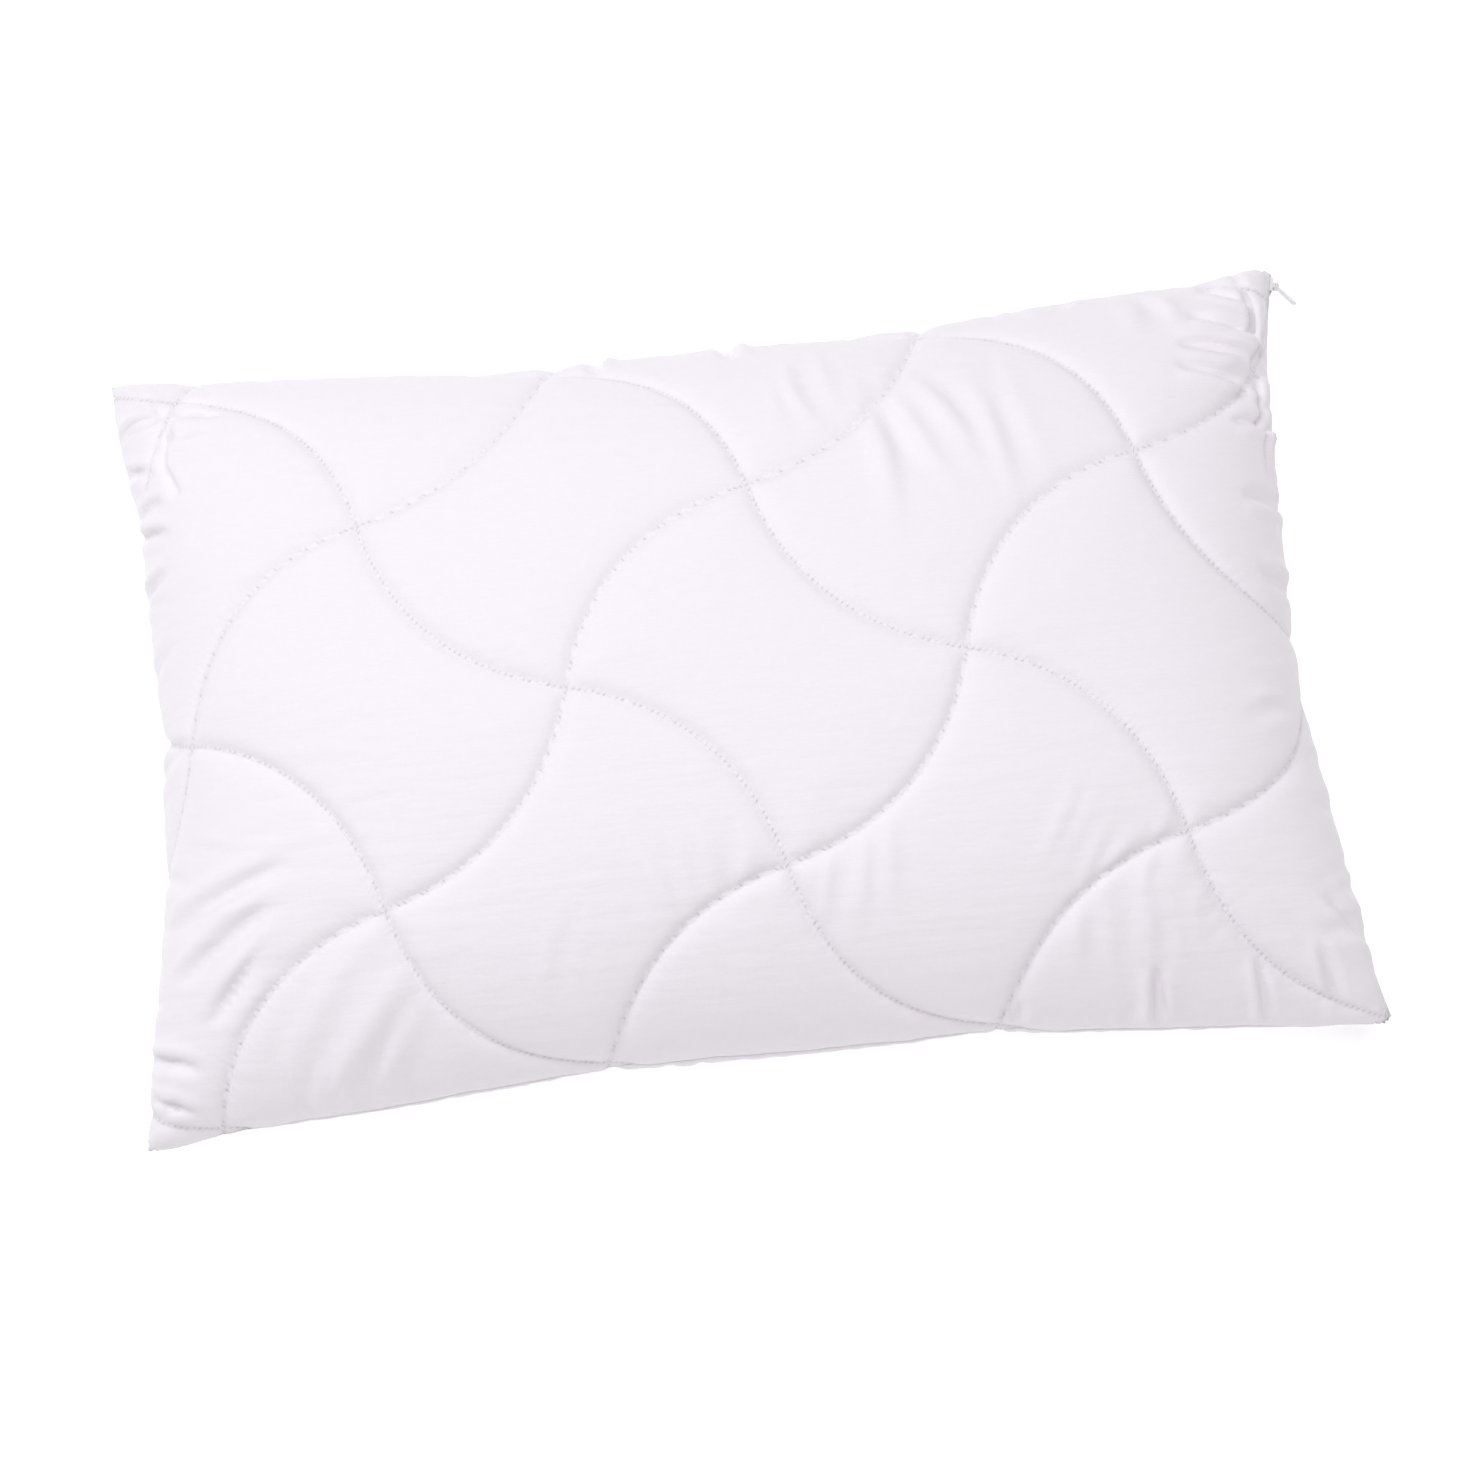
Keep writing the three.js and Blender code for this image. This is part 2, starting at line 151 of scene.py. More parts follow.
def normals(panels):
    """Outward unit normals of both panels."""
    along_x = np.gradient(panels, axis=2)
    along_y = np.gradient(panels, axis=1)
    normal = np.cross(along_x, along_y) * OUTWARD
    return normal / np.maximum(np.linalg.norm(normal, axis=3, keepdims=True), 1e-12)


# ---------------------------------------------------------------- cloth solver

ALL = slice(None)
STEP_ON, STEP_BACK = slice(1, None), slice(0, -1)
# Thread directions and diagonals: each first point, second point and stiffness
LINKS = [
    ((ALL, STEP_BACK), (ALL, STEP_ON), 1.0),
    ((STEP_BACK, ALL), (STEP_ON, ALL), 1.0),
    ((STEP_BACK, STEP_BACK), (STEP_ON, STEP_ON), 0.6),
    ((STEP_BACK, STEP_ON), (STEP_ON, STEP_BACK), 0.6),
]
# The four points beside each inner point
INNER, AHEAD, BEHIND = slice(1, -1), slice(2, None), slice(0, -2)
BESIDE = [(INNER, AHEAD), (INNER, BEHIND), (AHEAD, INNER), (BEHIND, INNER)]
SEWN_EDGES = [(ALL, 0), (0, ALL), (-1, ALL)]
# A point moves by the mean of what its links ask for, times this
OVER_RELAX = 1.3


def rest_lengths(flat, ease=0.0):
    """Length of each link in the flat cloth, with extra length along x and y where cloth is gathered."""
    lengths = []
    for first, second, _ in LINKS:
        step = flat[second] - flat[first]
        if np.ndim(ease):
            step = step * (1 + (ease[first] + ease[second]) / 2)
        lengths.append(np.linalg.norm(step, axis=-1)[None, ..., None])
    return lengths


def zip_opening(v):
    """How far the opening that holds the zip is open, from 0 at its ends to 1."""
    return np.clip((1 - np.abs(v)) / ZIP_CLOSING, 0, 1)


def zip_edges(rows):
    """The two folded edges beside the zip, which close up at its ends."""
    v = np.linspace(-1, 1, rows + 1)
    y = v * CORNER_Y
    tip = ZIP_TIP * np.clip(1 - (CORNER_Y - np.abs(y)) / (2 * ZIP_TIP), 0, 1) ** 2
    x, y = side_x(y) - tip, y - np.sign(y) * tip
    half = zip_opening(v) * HEM
    return np.stack([np.stack([x, y, SEAM_Z + side * half], 1) for side in (1, -1)])


def relax(panels, rests, rounds, push, bending, pinned=None, damping=0.93, seam_pull=0.02):
    """Moves both panels towards rest under pressure. They stay sewn to each other and above the floor."""
    rows, columns = panels.shape[1] - 1, panels.shape[2] - 1
    count = np.zeros(panels.shape[1:3])
    for first, second, stiffness in LINKS:
        count[first] += stiffness
        count[second] += stiffness
    share = (OVER_RELAX / count)[None, :, :, None]
    plan = outline(columns, rows)
    edges = zip_edges(rows)
    speed = np.zeros_like(panels)
    for _ in range(rounds):
        before = panels.copy()
        panels += speed * damping + push(panels)
        middle = panels[:, 1:-1, 1:-1]
        bend = (four_beside(panels) - 4 * middle) * bending
        middle += 4 * bend
        for where in BESIDE:
            panels[(ALL,) + where] -= bend
        shift = np.zeros_like(panels)
        for (first, second, stiffness), rest in zip(LINKS, rests):
            a, b = (ALL,) + first, (ALL,) + second
            step = panels[b] - panels[a]
            length = np.sqrt((step * step).sum(3, keepdims=True))
            pull = step * ((length - rest) / np.maximum(length, 1e-9) * (stiffness / 2))
            shift[a] += pull
            shift[b] -= pull
        panels += shift * share
        if pinned is not None:
            panels = np.where(pinned, before, panels)
        np.maximum(panels[..., 2], 0, out=panels[..., 2])
        for edge in SEWN_EDGES:
            seam = (panels[(FRONT,) + edge] + panels[(BACK,) + edge]) / 2
            seam[:, :2] += seam_pull * (plan[edge] - seam[:, :2])
            seam[:, 2] += seam_pull * (SEAM_Z - seam[:, 2])
            panels[(FRONT,) + edge] = panels[(BACK,) + edge] = seam
        panels[:, :, -1] = edges
        speed = panels - before
    return panels


# ---------------------------------------------------------------- the filled case

# The share of the flat length that is left, after what the wadding and the quilting take up
SHRINK = 0.968
# The filling's room on each side of the seam, and the share of it that is gone at the edges
FILL_HEIGHT = 0.092
ROOM_LOST = 0.75
# The first grid, and the heights of the domes that it starts from
START_COLUMNS, START_ROWS = 42, 28
START_HEIGHTS = (0.08, -0.06)
# Rounds, pressure and bending of each stage. The grid is doubled from one to the next.
FILL_STAGES = ((1200, 1.2e-5, 0.001), (800, 3e-6, 0.001), (150, 8e-7, 0.002))


def fill_case():
    """The two panels blown up by the filling, without their quilting."""
    columns, rows = START_COLUMNS, START_ROWS
    u, v = unit_grid(columns, rows)
    plan = outline(columns, rows)
    dome = np.sqrt((1 - u**2) * (1 - v**2))
    panels = np.stack([np.dstack([plan, SEAM_Z + height * dome]) for height in START_HEIGHTS])
    for stage, (rounds, pressure, bending) in enumerate(FILL_STAGES):
        if stage:
            panels = doubled(panels)
            columns, rows = 2 * columns, 2 * rows
            u, v = unit_grid(columns, rows)
        narrowing = np.sqrt((1 - ROOM_LOST * u**4) * (1 - ROOM_LOST * v**4))
        room = (FILL_HEIGHT * narrowing)[None, ..., None]

        def push(now):
            height = (now[..., 2:3] - SEAM_Z) * OUTWARD
            return pressure * np.clip(1 - height / room, -1, 1) * normals(now)

        panels = relax(panels, rest_lengths(flat_grid(columns, rows) * SHRINK), rounds, push, bending)
    return panels


# ---------------------------------------------------------------- quilting lines

def wave(along):
    """Height of a wavy line over its chord at a place along it, and its slope, in pitches."""
    part = along - np.floor(along)
    side = np.where(np.floor(along) % 2 == 0, 1.0, -1.0)
    return side * 4 * WAVE_HEIGHT * part * (1 - part), side * 4 * WAVE_HEIGHT * (1 - 2 * part)


def line_length(along):
    """Length of a wavy line in metres from its start to a place along its chord."""
    def reach(slope):
        return (slope * np.hypot(1, slope) + np.arcsinh(slope)) / (16 * WAVE_HEIGHT)

    steepest = 4 * WAVE_HEIGHT
    whole = np.floor(along)
    part = along - whole
    waves = 2 * reach(steepest) * whole + reach(steepest) - reach(steepest * (1 - 2 * part))
    return waves * PITCH / math.sqrt(2)


def across_line(p, q, family, number):
    """How far a point is across a quilting line, with its rates of change along p and q."""
    height, slope = wave(p - family * q + number)
    return p + family * q - number - family * height, 1 - family * slope, family + slope


def not_zero(rate):
    return np.where(np.abs(rate) < 1e-6, 1e-6, rate)


def quilting(flat):
    """Moves the grid points nearest to each quilting line onto it.

    Returns the new flat grid and the line that each point is on, -1 for none and -2 where two cross.
    """
    cell_x, cell_y = flat[0, 1, 0] - flat[0, 0, 0], flat[1, 0, 1] - flat[0, 0, 1]
    x, y = flat[..., 0], flat[..., 1]
    p, q = x / PITCH + MIDDLE_P, y / PITCH + MIDDLE_Q
    new = flat.copy()
    on_line = np.full(x.shape, -1)
    moved = np.full(x.shape, np.inf)
    for index, (family, number) in enumerate(LINES):
        gap, by_p, by_q = across_line(p, q, family, number)
        shift_x = gap / not_zero(by_p) * PITCH
        shift_y = gap / not_zero(by_q) * PITCH
        by_y = np.abs(shift_y) / cell_y <= np.abs(shift_x) / cell_x
        shift = np.where(by_y, np.abs(shift_y) / cell_y, np.abs(shift_x) / cell_x)
        hit = (shift <= 0.5) & (shift < moved)
        new[..., 0] = np.where(hit, x - np.where(by_y, 0, shift_x), new[..., 0])
        new[..., 1] = np.where(hit, y - np.where(by_y, shift_y, 0), new[..., 1])
        on_line[hit] = index
        moved[hit] = shift[hit]
    for half in (0, 0.5):
        for cross_p in CROSSING_P + half:
            for cross_q in CROSSING_Q + half:
                at_x, at_y = (cross_p - MIDDLE_P) * PITCH, (cross_q - MIDDLE_Q) * PITCH
                column, row = round((at_x + CASE_X / 2) / cell_x), round((at_y + CASE_Y / 2) / cell_y)
                if 0 < column < x.shape[1] - 1 and 0 < row < x.shape[0] - 1:
                    new[row, column] = at_x, at_y
                    on_line[row, column] = -2
    for edge in ((0, ALL), (-1, ALL), (ALL, 0), (ALL, -1)):
        new[edge] = flat[edge]
        on_line[edge] = -1
    return new, on_line


def nearest_line(flat):
    """The distance from each point to the nearest quilting line, and the length along that line."""
    p, q = flat[..., 0] / PITCH + MIDDLE_P, flat[..., 1] / PITCH + MIDDLE_Q
    near = np.full(p.shape, np.inf)
    along = np.zeros_like(p)
    for family, number in LINES:
        gap, by_p, by_q = across_line(p, q, family, number)
        distance = np.abs(gap) / np.hypot(by_p, by_q) * PITCH
        along = np.where(distance < near, line_length(p - family * q + number), along)
        near = np.minimum(near, distance)
    return near, along


# ---------------------------------------------------------------- puckers and gathers

# The ridges beside a crease: height as a share of its depth, then place and width in its widths
CREASE_RIDGES = ((0.65, 2.0, 1.2), (0.25, -2.2, 1.3))

# Puckers along the sewn edges. Gaps and lengths grow from the least by e to a random power.
PUCKER_GAP, GAP_POWER = 0.007, 1.6
PUCKER_LENGTH, LENGTH_POWER = 0.012, 1.25
PUCKER_SLANT = 0.45
PUCKER_STEEPNESS = (0.008, 0.036)
PUCKER_WIDTH = (0.0026, 0.0046)
# They are longer on the short sides than on the long ones, and shallower beside the zip
SHORT_SIDE_LENGTH, LONG_SIDE_LENGTH = 1.4, 0.8
ZIP_SIDE_DEPTH, SEWN_SIDE_DEPTH = 0.5, 0.9
# How near to a corner they turn and deepen, and the room left at it
CORNER_REACH = 0.06
CORNER_ROOM = 0.006


def valleys(flat, creases):
    """Creases pressed into the cloth, each from x, y to x, y and so deep and wide.

    A crease is a valley between two low ridges that fades out at its ends. The higher ridge is on its
    left, or on its right where the width is negative.
    """
    relief = np.zeros(flat.shape[:2])
    for start_x, start_y, end_x, end_y, depth, width in creases:
        run_x, run_y = end_x - start_x, end_y - start_y
        length = math.hypot(run_x, run_y)
        dx, dy = flat[..., 0] - start_x, flat[..., 1] - start_y
        along = (dx * run_x + dy * run_y) / length**2
        across = (dy * run_x - dx * run_y) / (length * width)
        fade = np.clip(1 - np.abs(2 * along - 1) ** 3, 0, 1)
        ridges = sum(
            share * np.exp(-(((across - place) / spread) ** 2)) for share, place, spread in CREASE_RIDGES
        )
        relief += depth * fade * (ridges - np.exp(-(across**2)))
    return relief


def edge_puckers(rng):
    """Creases that run in from the four sewn edges, where the cloth is drawn up."""
    creases = []
    for axis in (0, 1):
        half, edge = CASE[axis] / 2, CASE[1 - axis] / 2
        for side in (-1, 1):
            length_share = SHORT_SIDE_LENGTH if axis else LONG_SIDE_LENGTH
            depth_share = ZIP_SIDE_DEPTH if axis and side > 0 else SEWN_SIDE_DEPTH
            place = -half + CORNER_ROOM
            while place < half - CORNER_ROOM:
                near_corner = math.exp(-(((half - abs(place)) / CORNER_REACH) ** 2))
                length = PUCKER_LENGTH * math.exp(rng.uniform(0, LENGTH_POWER)) * length_share
                slant = rng.uniform(-PUCKER_SLANT, PUCKER_SLANT) - 0.5 * math.copysign(near_corner, place)
                depth = length * rng.uniform(*PUCKER_STEEPNESS) * (1 + 0.5 * near_corner) * depth_share
                width = rng.uniform(*PUCKER_WIDTH) * rng.choice([-1, 1])
                start, end = np.empty(2), np.empty(2)
                start[axis], end[axis] = place, place + slant * length
                start[1 - axis], end[1 - axis] = side * (edge + 0.25 * length), side * (edge - length)
                creases.append((*start, *end, depth, width))
                place += PUCKER_GAP * math.exp(rng.uniform(0, GAP_POWER))
    return creases


# Creases of the front cover where its layers bunch up: from x, y to x, y, then depth and width
CREASES = [
    (-0.372, 0.205, -0.332, 0.208, 0.0035, 0.0029),
    (-0.328, 0.204, -0.345, 0.230, 0.0025, 0.0026),
    (-0.326, 0.208, -0.330, 0.165, 0.0032, -0.0029),
    (-0.330, 0.204, -0.290, 0.200, 0.0020, 0.0026),
    (-0.372, 0.182, -0.338, 0.172, 0.0035, 0.0032),
    (-0.370, 0.152, -0.330, 0.146, 0.0032, 0.0031),
    (-0.370, 0.138, -0.325, 0.124, 0.0031, 0.0029),
    (-0.330, 0.170, -0.318, 0.145, 0.0025, 0.0029),
    (-0.370, 0.095, -0.330, 0.100, 0.0025, 0.0034),
    (0.351, 0.262, 0.346, 0.080, 0.0030, 0.0027),
    (0.350, 0.190, 0.306, 0.198, 0.0034, 0.0032),
    (0.350, 0.172, 0.294, 0.177, 0.0037, -0.0035),
    (0.350, 0.152, 0.290, 0.161, 0.0034, 0.0034),
    (0.350, 0.210, 0.318, 0.226, 0.0026, 0.0029),
    (0.364, 0.130, 0.322, 0.126, 0.0034, 0.0034),
    (0.366, 0.078, 0.318, 0.076, 0.0024, 0.0040),
    (0.366, 0.020, 0.325, 0.030, 0.0022, -0.0040),
    (-0.345, -0.122, -0.258, -0.092, 0.0018, 0.0046),
    (-0.338, -0.154, -0.270, -0.114, 0.0022, 0.0048),
    (-0.318, -0.180, -0.280, -0.136, 0.0020, 0.0036),
    (-0.370, -0.192, -0.326, -0.204, 0.0018, 0.0032),
    (-0.368, -0.216, -0.334, -0.230, 0.0020, 0.0030),
    (0.300, -0.245, 0.292, -0.202, 0.0026, 0.0028),
    (0.346, -0.245, 0.326, -0.192, 0.0024, 0.0030),
    (0.370, -0.206, 0.330, -0.168, 0.0018, 0.0034),
    (0.236, -0.248, 0.232, -0.202, 0.0032, 0.0032),
    (0.150, -0.248, 0.152, -0.222, 0.0024, 0.0030),
    (-0.060, 0.250, -0.062, 0.215, 0.0028, 0.0040),
    (0.020, 0.250, 0.024, 0.205, 0.0030, 0.0044),
]


# Soft folds of the front cover: middle x, y, direction in degrees from +X, number, spacing, length, height
GATHERS = [
    (0.150, 0.128, 98, 5, 0.020, 0.036, 0.0012),
    (0.060, 0.168, 95, 3, 0.017, 0.024, 0.0009),
    (-0.030, -0.120, 92, 4, 0.017, 0.028, 0.0007),
    (-0.105, -0.165, 88, 3, 0.015, 0.022, 0.0005),
    (0.056, -0.135, 80, 4, 0.015, 0.026, 0.0009),
    (0.205, -0.130, 62, 5, 0.014, 0.028, 0.0009),
    (0.225, -0.182, 94, 5, 0.017, 0.024, 0.0008),
    (0.275, -0.172, 20, 4, 0.010, 0.012, 0.0007),
    (-0.232, -0.190, 58, 3, 0.026, 0.050, 0.0025),
    (-0.300, -0.150, 40, 4, 0.016, 0.028, 0.0010),
    (-0.268, -0.212, 75, 4, 0.012, 0.020, 0.0009),
    (-0.325, 0.196, 10, 3, 0.016, 0.020, 0.0017),
    (-0.318, 0.205, 70, 2, 0.018, 0.016, 0.0013),
    (0.285, 0.205, 92, 2, 0.018, 0.018, 0.0013),
    (0.335, 0.175, 20, 4, 0.015, 0.022, 0.0016),
    (0.335, -0.195, 130, 4, 0.015, 0.024, 0.0010),
    (0.318, -0.045, 4, 4, 0.015, 0.022, 0.0010),
    (-0.235, -0.060, 4, 9, 0.012, 0.055, 0.0002),
    (-0.290, 0.110, 6, 7, 0.013, 0.045, 0.0002),
    (-0.300, -0.110, 8, 6, 0.013, 0.035, 0.0003),
]


# How far the folds of a group differ: turn in degrees, then shares of the spacing and the length
FOLD_TURN, FOLD_ASIDE, FOLD_SLIDE = 7, 0.3, 0.4
FOLD_LENGTHS, FOLD_WIDTHS, FOLD_HEIGHTS = (0.6, 1.1), (0.22, 0.42), (0.4, 1.5)
FOLD_CURVE = 0.25
# The dip on one side of each fold: depth as a share of its height, place and width in spacings
DIP_DEPTH, DIP_PLACE, DIP_WIDTH = 0.45, 0.5, 0.4


def gathers(flat, rng):
    """Groups of soft folds, side by side but no two alike, that fade out at their ends."""
    relief = np.zeros(flat.shape[:2])
    for x, y, angle, number, spacing, length, height in GATHERS:
        for fold in range(number):
            turn = math.radians(angle + rng.normal(0, FOLD_TURN))
            aside = (fold - (number - 1) / 2 + rng.uniform(-FOLD_ASIDE, FOLD_ASIDE)) * spacing
            slide = rng.uniform(-FOLD_SLIDE, FOLD_SLIDE) * length
            middle_x = x - aside * math.sin(turn) + slide * math.cos(turn)
            middle_y = y + aside * math.cos(turn) + slide * math.sin(turn)
            dx, dy = flat[..., 0] - middle_x, flat[..., 1] - middle_y
            along = (dx * math.cos(turn) + dy * math.sin(turn)) / (length * rng.uniform(*FOLD_LENGTHS))
            across = (dy * math.cos(turn) - dx * math.sin(turn)) / spacing
            across = across + rng.uniform(-FOLD_CURVE, FOLD_CURVE) * along**2
            width = rng.uniform(*FOLD_WIDTHS)
            from_dip = across - rng.choice([-DIP_PLACE, DIP_PLACE])
            ridge = np.exp(-((across / width) ** 2)) - DIP_DEPTH * np.exp(-((from_dip / DIP_WIDTH) ** 2))
            relief += height * rng.uniform(*FOLD_HEIGHTS) * ridge * np.exp(-(along**2))
    return relief


# ---------------------------------------------------------------- the quilted cover

# The puff above the smooth case: a steep part beside the lines and a broad one
PUFF_NARROW, NARROW_WIDTH = 0.0026, 0.0030
PUFF_BROAD, BROAD_WIDTH = 0.0036, 0.022
# The lines lie this far below the smooth case, and off the floor
LINE_DEPTH = 0.0004
FLOOR_GROOVE = 0.003
# Creases fade out this near to the lines and the edges, and are partly pressed in again at the end
LINE_FADE, EDGE_FADE = 0.004, 0.009
CRISPNESS = 0.9
# Extra cloth everywhere, and along the long and the short sides with how far in it reaches
EASE = 0.006
EASE_LONG, LONG_REACH = 0.014, 0.022
EASE_SHORT, SHORT_REACH = 0.011, 0.026
# Rounds, pressure, bending and noise of the coarse and the fine stage
QUILT_STAGES = ((260, 2.2e-5, 0.0006, 2e-4), (110, 1.4e-5, 0.004, 1e-4))
QUILT_SEED = 11
# The pressure is full where the cloth is twice this far from the height wanted
PRESS_REACH = 0.0015


def from_edges(flat):
    return np.minimum(CASE_Y / 2 - np.abs(flat[..., 1]), CASE_X / 2 - np.abs(flat[..., 0]))


def ease_at_edges(flat):
    """Extra length along x and y: the cloth is drawn up along every sewn edge."""
    to_long = CASE_Y / 2 - np.abs(flat[..., 1])
    to_short = CASE_X / 2 - np.abs(flat[..., 0])
    along_x = EASE + EASE_LONG * np.exp(-((to_long / LONG_REACH) ** 1.5))
    along_y = EASE + EASE_SHORT * np.exp(-((to_short / SHORT_REACH) ** 1.5))
    return np.stack([along_x, along_y], -1)


def moved_with(panels, flat, new):
    """Where the panels' surfaces lie at grid points that have moved a little on the flat case."""
    rows, columns = flat.shape[0] - 1, flat.shape[1] - 1
    shift = (new - flat) / (CASE / [columns, rows])
    by_x = np.gradient(panels, axis=2)
    by_y = np.gradient(panels, axis=1)
    return panels + by_x * shift[None, ..., :1] + by_y * shift[None, ..., 1:]


def puff_height(near):
    """How far the cloth stands above the smooth case, by its distance from the nearest line."""
    steep = PUFF_NARROW * (1 - np.exp(-near / NARROW_WIDTH))
    return steep + PUFF_BROAD * (1 - np.exp(-near / BROAD_WIDTH))


def wanted_relief(flat, near, rng):
    """Puckers, creases and folds of both panels, which fade out at the lines and the edges."""
    front = valleys(flat, edge_puckers(rng) + CREASES) + gathers(flat, rng)
    relief = np.stack([front, valleys(flat, edge_puckers(rng))])
    off_lines = 1 - np.exp(-((near / LINE_FADE) ** 2))
    off_edges = 1 - np.exp(-((from_edges(flat) / EDGE_FADE) ** 1.5))
    return relief * (off_lines * off_edges)


class Cover:
    """The finished panels with what was found on the way."""


def quilt(base):
    """The outer fabric: held down along the quilting lines and puffed out between them."""
    panels = base.copy()
    for stage, (rounds, pressure, bending, noise) in enumerate(QUILT_STAGES):
        rng = np.random.default_rng(QUILT_SEED)
        if stage:
            panels, base = doubled(panels), smoothed(doubled(base), 3)
        rows, columns = base.shape[1] - 1, base.shape[2] - 1
        even = flat_grid(columns, rows)
        flat, on_line = quilting(even)
        near, along = nearest_line(flat)
        normal = normals(base)
        ground = moved_with(base, even, flat)
        relief = wanted_relief(flat, near, rng)
        wanted = (puff_height(near) + relief)[..., None]
        held = np.broadcast_to((on_line != -1)[None, ..., None], panels.shape).copy()
        beside_hem = -2 - stage
        held[:, 1:-1, beside_hem] = True
        lines = ground - normal * LINE_DEPTH
        lines[BACK, ..., 2] = np.maximum(lines[BACK, ..., 2], FLOOR_GROOVE)
        if not stage:
            panels = ground + normal * wanted
        panels += normal * rng.normal(0, noise, panels.shape[:3])[..., None] * ~held
        panels = np.where(held, lines, panels)

        def push(now):
            height = ((now - ground) * normal).sum(3, keepdims=True)
            return pressure * np.clip((wanted - height) / PRESS_REACH, -2, 2) * normal

        rests = rest_lengths(flat * SHRINK, ease_at_edges(flat))
        panels = relax(panels, rests, rounds, push, bending, held)
    panels = panels + normals(panels) * relief[..., None] * CRISPNESS * ~held
    np.maximum(panels[..., 2], 0, out=panels[..., 2])
    cover = Cover()
    cover.panels, cover.base, cover.flat, cover.on_line = panels, base, flat, on_line
    cover.near, cover.along, cover.normals = near, along, normals(panels)
    return cover


# ---------------------------------------------------------------- meshes

def flat_uv(mesh, uv, name="cloth"):
    """Gives a mesh a UV map from one pair of numbers for each vertex."""
    corners = np.zeros(len(mesh.loops), np.int32)
    mesh.loops.foreach_get("vertex_index", corners)
    layer = mesh.uv_layers.new(name=name)
    layer.data.foreach_set("uv", np.asarray(uv, np.float32)[corners].ravel())


def add_object(name, data):
    made = bpy.data.objects.new(name, data)
    bpy.context.scene.collection.objects.link(made)
    return made


def add_mesh(mesh, material, slot, body, replaced):
    """A piece that rides on a body and stands for a CAD node."""
    mesh.materials.append(material)
    made = add_object(mesh.name, mesh)
    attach(made, body)
    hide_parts(replaced)
    return made


def add_piece(name, vertices, faces, material, slot, replaced, body="pillow", uv=None):
    mesh = bpy.data.meshes.new(name)
    mesh.from_pydata(np.asarray(vertices).tolist(), [], faces)
    mesh.update()
    if uv is not None:
        flat_uv(mesh, uv)
    mesh.shade_smooth()
    return add_mesh(mesh, material, slot, body, replaced)


def rim_of(index):
    """The vertices round a grid's edge, counter-clockwise."""
    return np.concatenate([index[0, :-1], index[:-1, -1], index[-1, :0:-1], index[:0:-1, 0]])


def grid_quads(index):
    quads = [index[:-1, :-1], index[:-1, 1:], index[1:, 1:], index[1:, :-1]]
    return np.stack(quads, -1).reshape(-1, 4)


def closed_sheet(top, bottom):
    """A closed mesh between two grids. Seen from the top, x runs right and y runs up."""
    upper = np.arange(top[..., 0].size).reshape(top.shape[:2])
    lower = upper + upper.size
    outer, inner = rim_of(upper), rim_of(lower)
    sides = np.stack([inner, np.roll(inner, -1), np.roll(outer, -1), outer], 1)
    faces = np.concatenate([grid_quads(upper), grid_quads(lower)[:, ::-1], sides])
    return np.concatenate([top.reshape(-1, 3), bottom.reshape(-1, 3)]), faces.tolist()


def tubes(rings):
    """Closed tubes. rings holds for each tube its rings of points, each anticlockwise about its direction."""
    count, length, sides, _ = rings.shape
    index = np.arange(count * length * sides).reshape(count, length, sides)
    turned = np.roll(index, -1, axis=2)
    quads = np.stack([index[:, :-1], turned[:, :-1], turned[:, 1:], index[:, 1:]], -1).reshape(-1, 4)
    return rings.reshape(-1, 3), quads.tolist() + index[:, 0, ::-1].tolist() + index[:, -1].tolist()


# ---------------------------------------------------------------- covers

def cover_triangles(cover, index, points):
    """Two triangles for each cell, split along a quilting line where one crosses it."""
    line = cover.on_line
    a, b, c, d = line[:-1, :-1], line[:-1, 1:], line[1:, 1:], line[1:, :-1]

    def same(one, two):
        """Whether two points are on one line. Crossings, marked -2, are on any."""
        return (one == two) & (one >= 0) | (one == -2) & (two >= 0) | (two == -2) & (one >= 0)

    rising = np.linalg.norm(points[1:, 1:] - points[:-1, :-1], axis=2)
    falling = np.linalg.norm(points[1:, :-1] - points[:-1, 1:], axis=2)
    split_up = np.where(same(a, c) == same(b, d), rising <= falling, same(a, c))[..., None]
    a, b, c, d = index[:-1, :-1], index[:-1, 1:], index[1:, 1:], index[1:, :-1]
    first = np.where(split_up, np.stack([a, b, c], -1), np.stack([a, b, d], -1))
    second = np.where(split_up, np.stack([a, c, d], -1), np.stack([b, c, d], -1))
    return np.concatenate([first.reshape(-1, 3), second.reshape(-1, 3)])


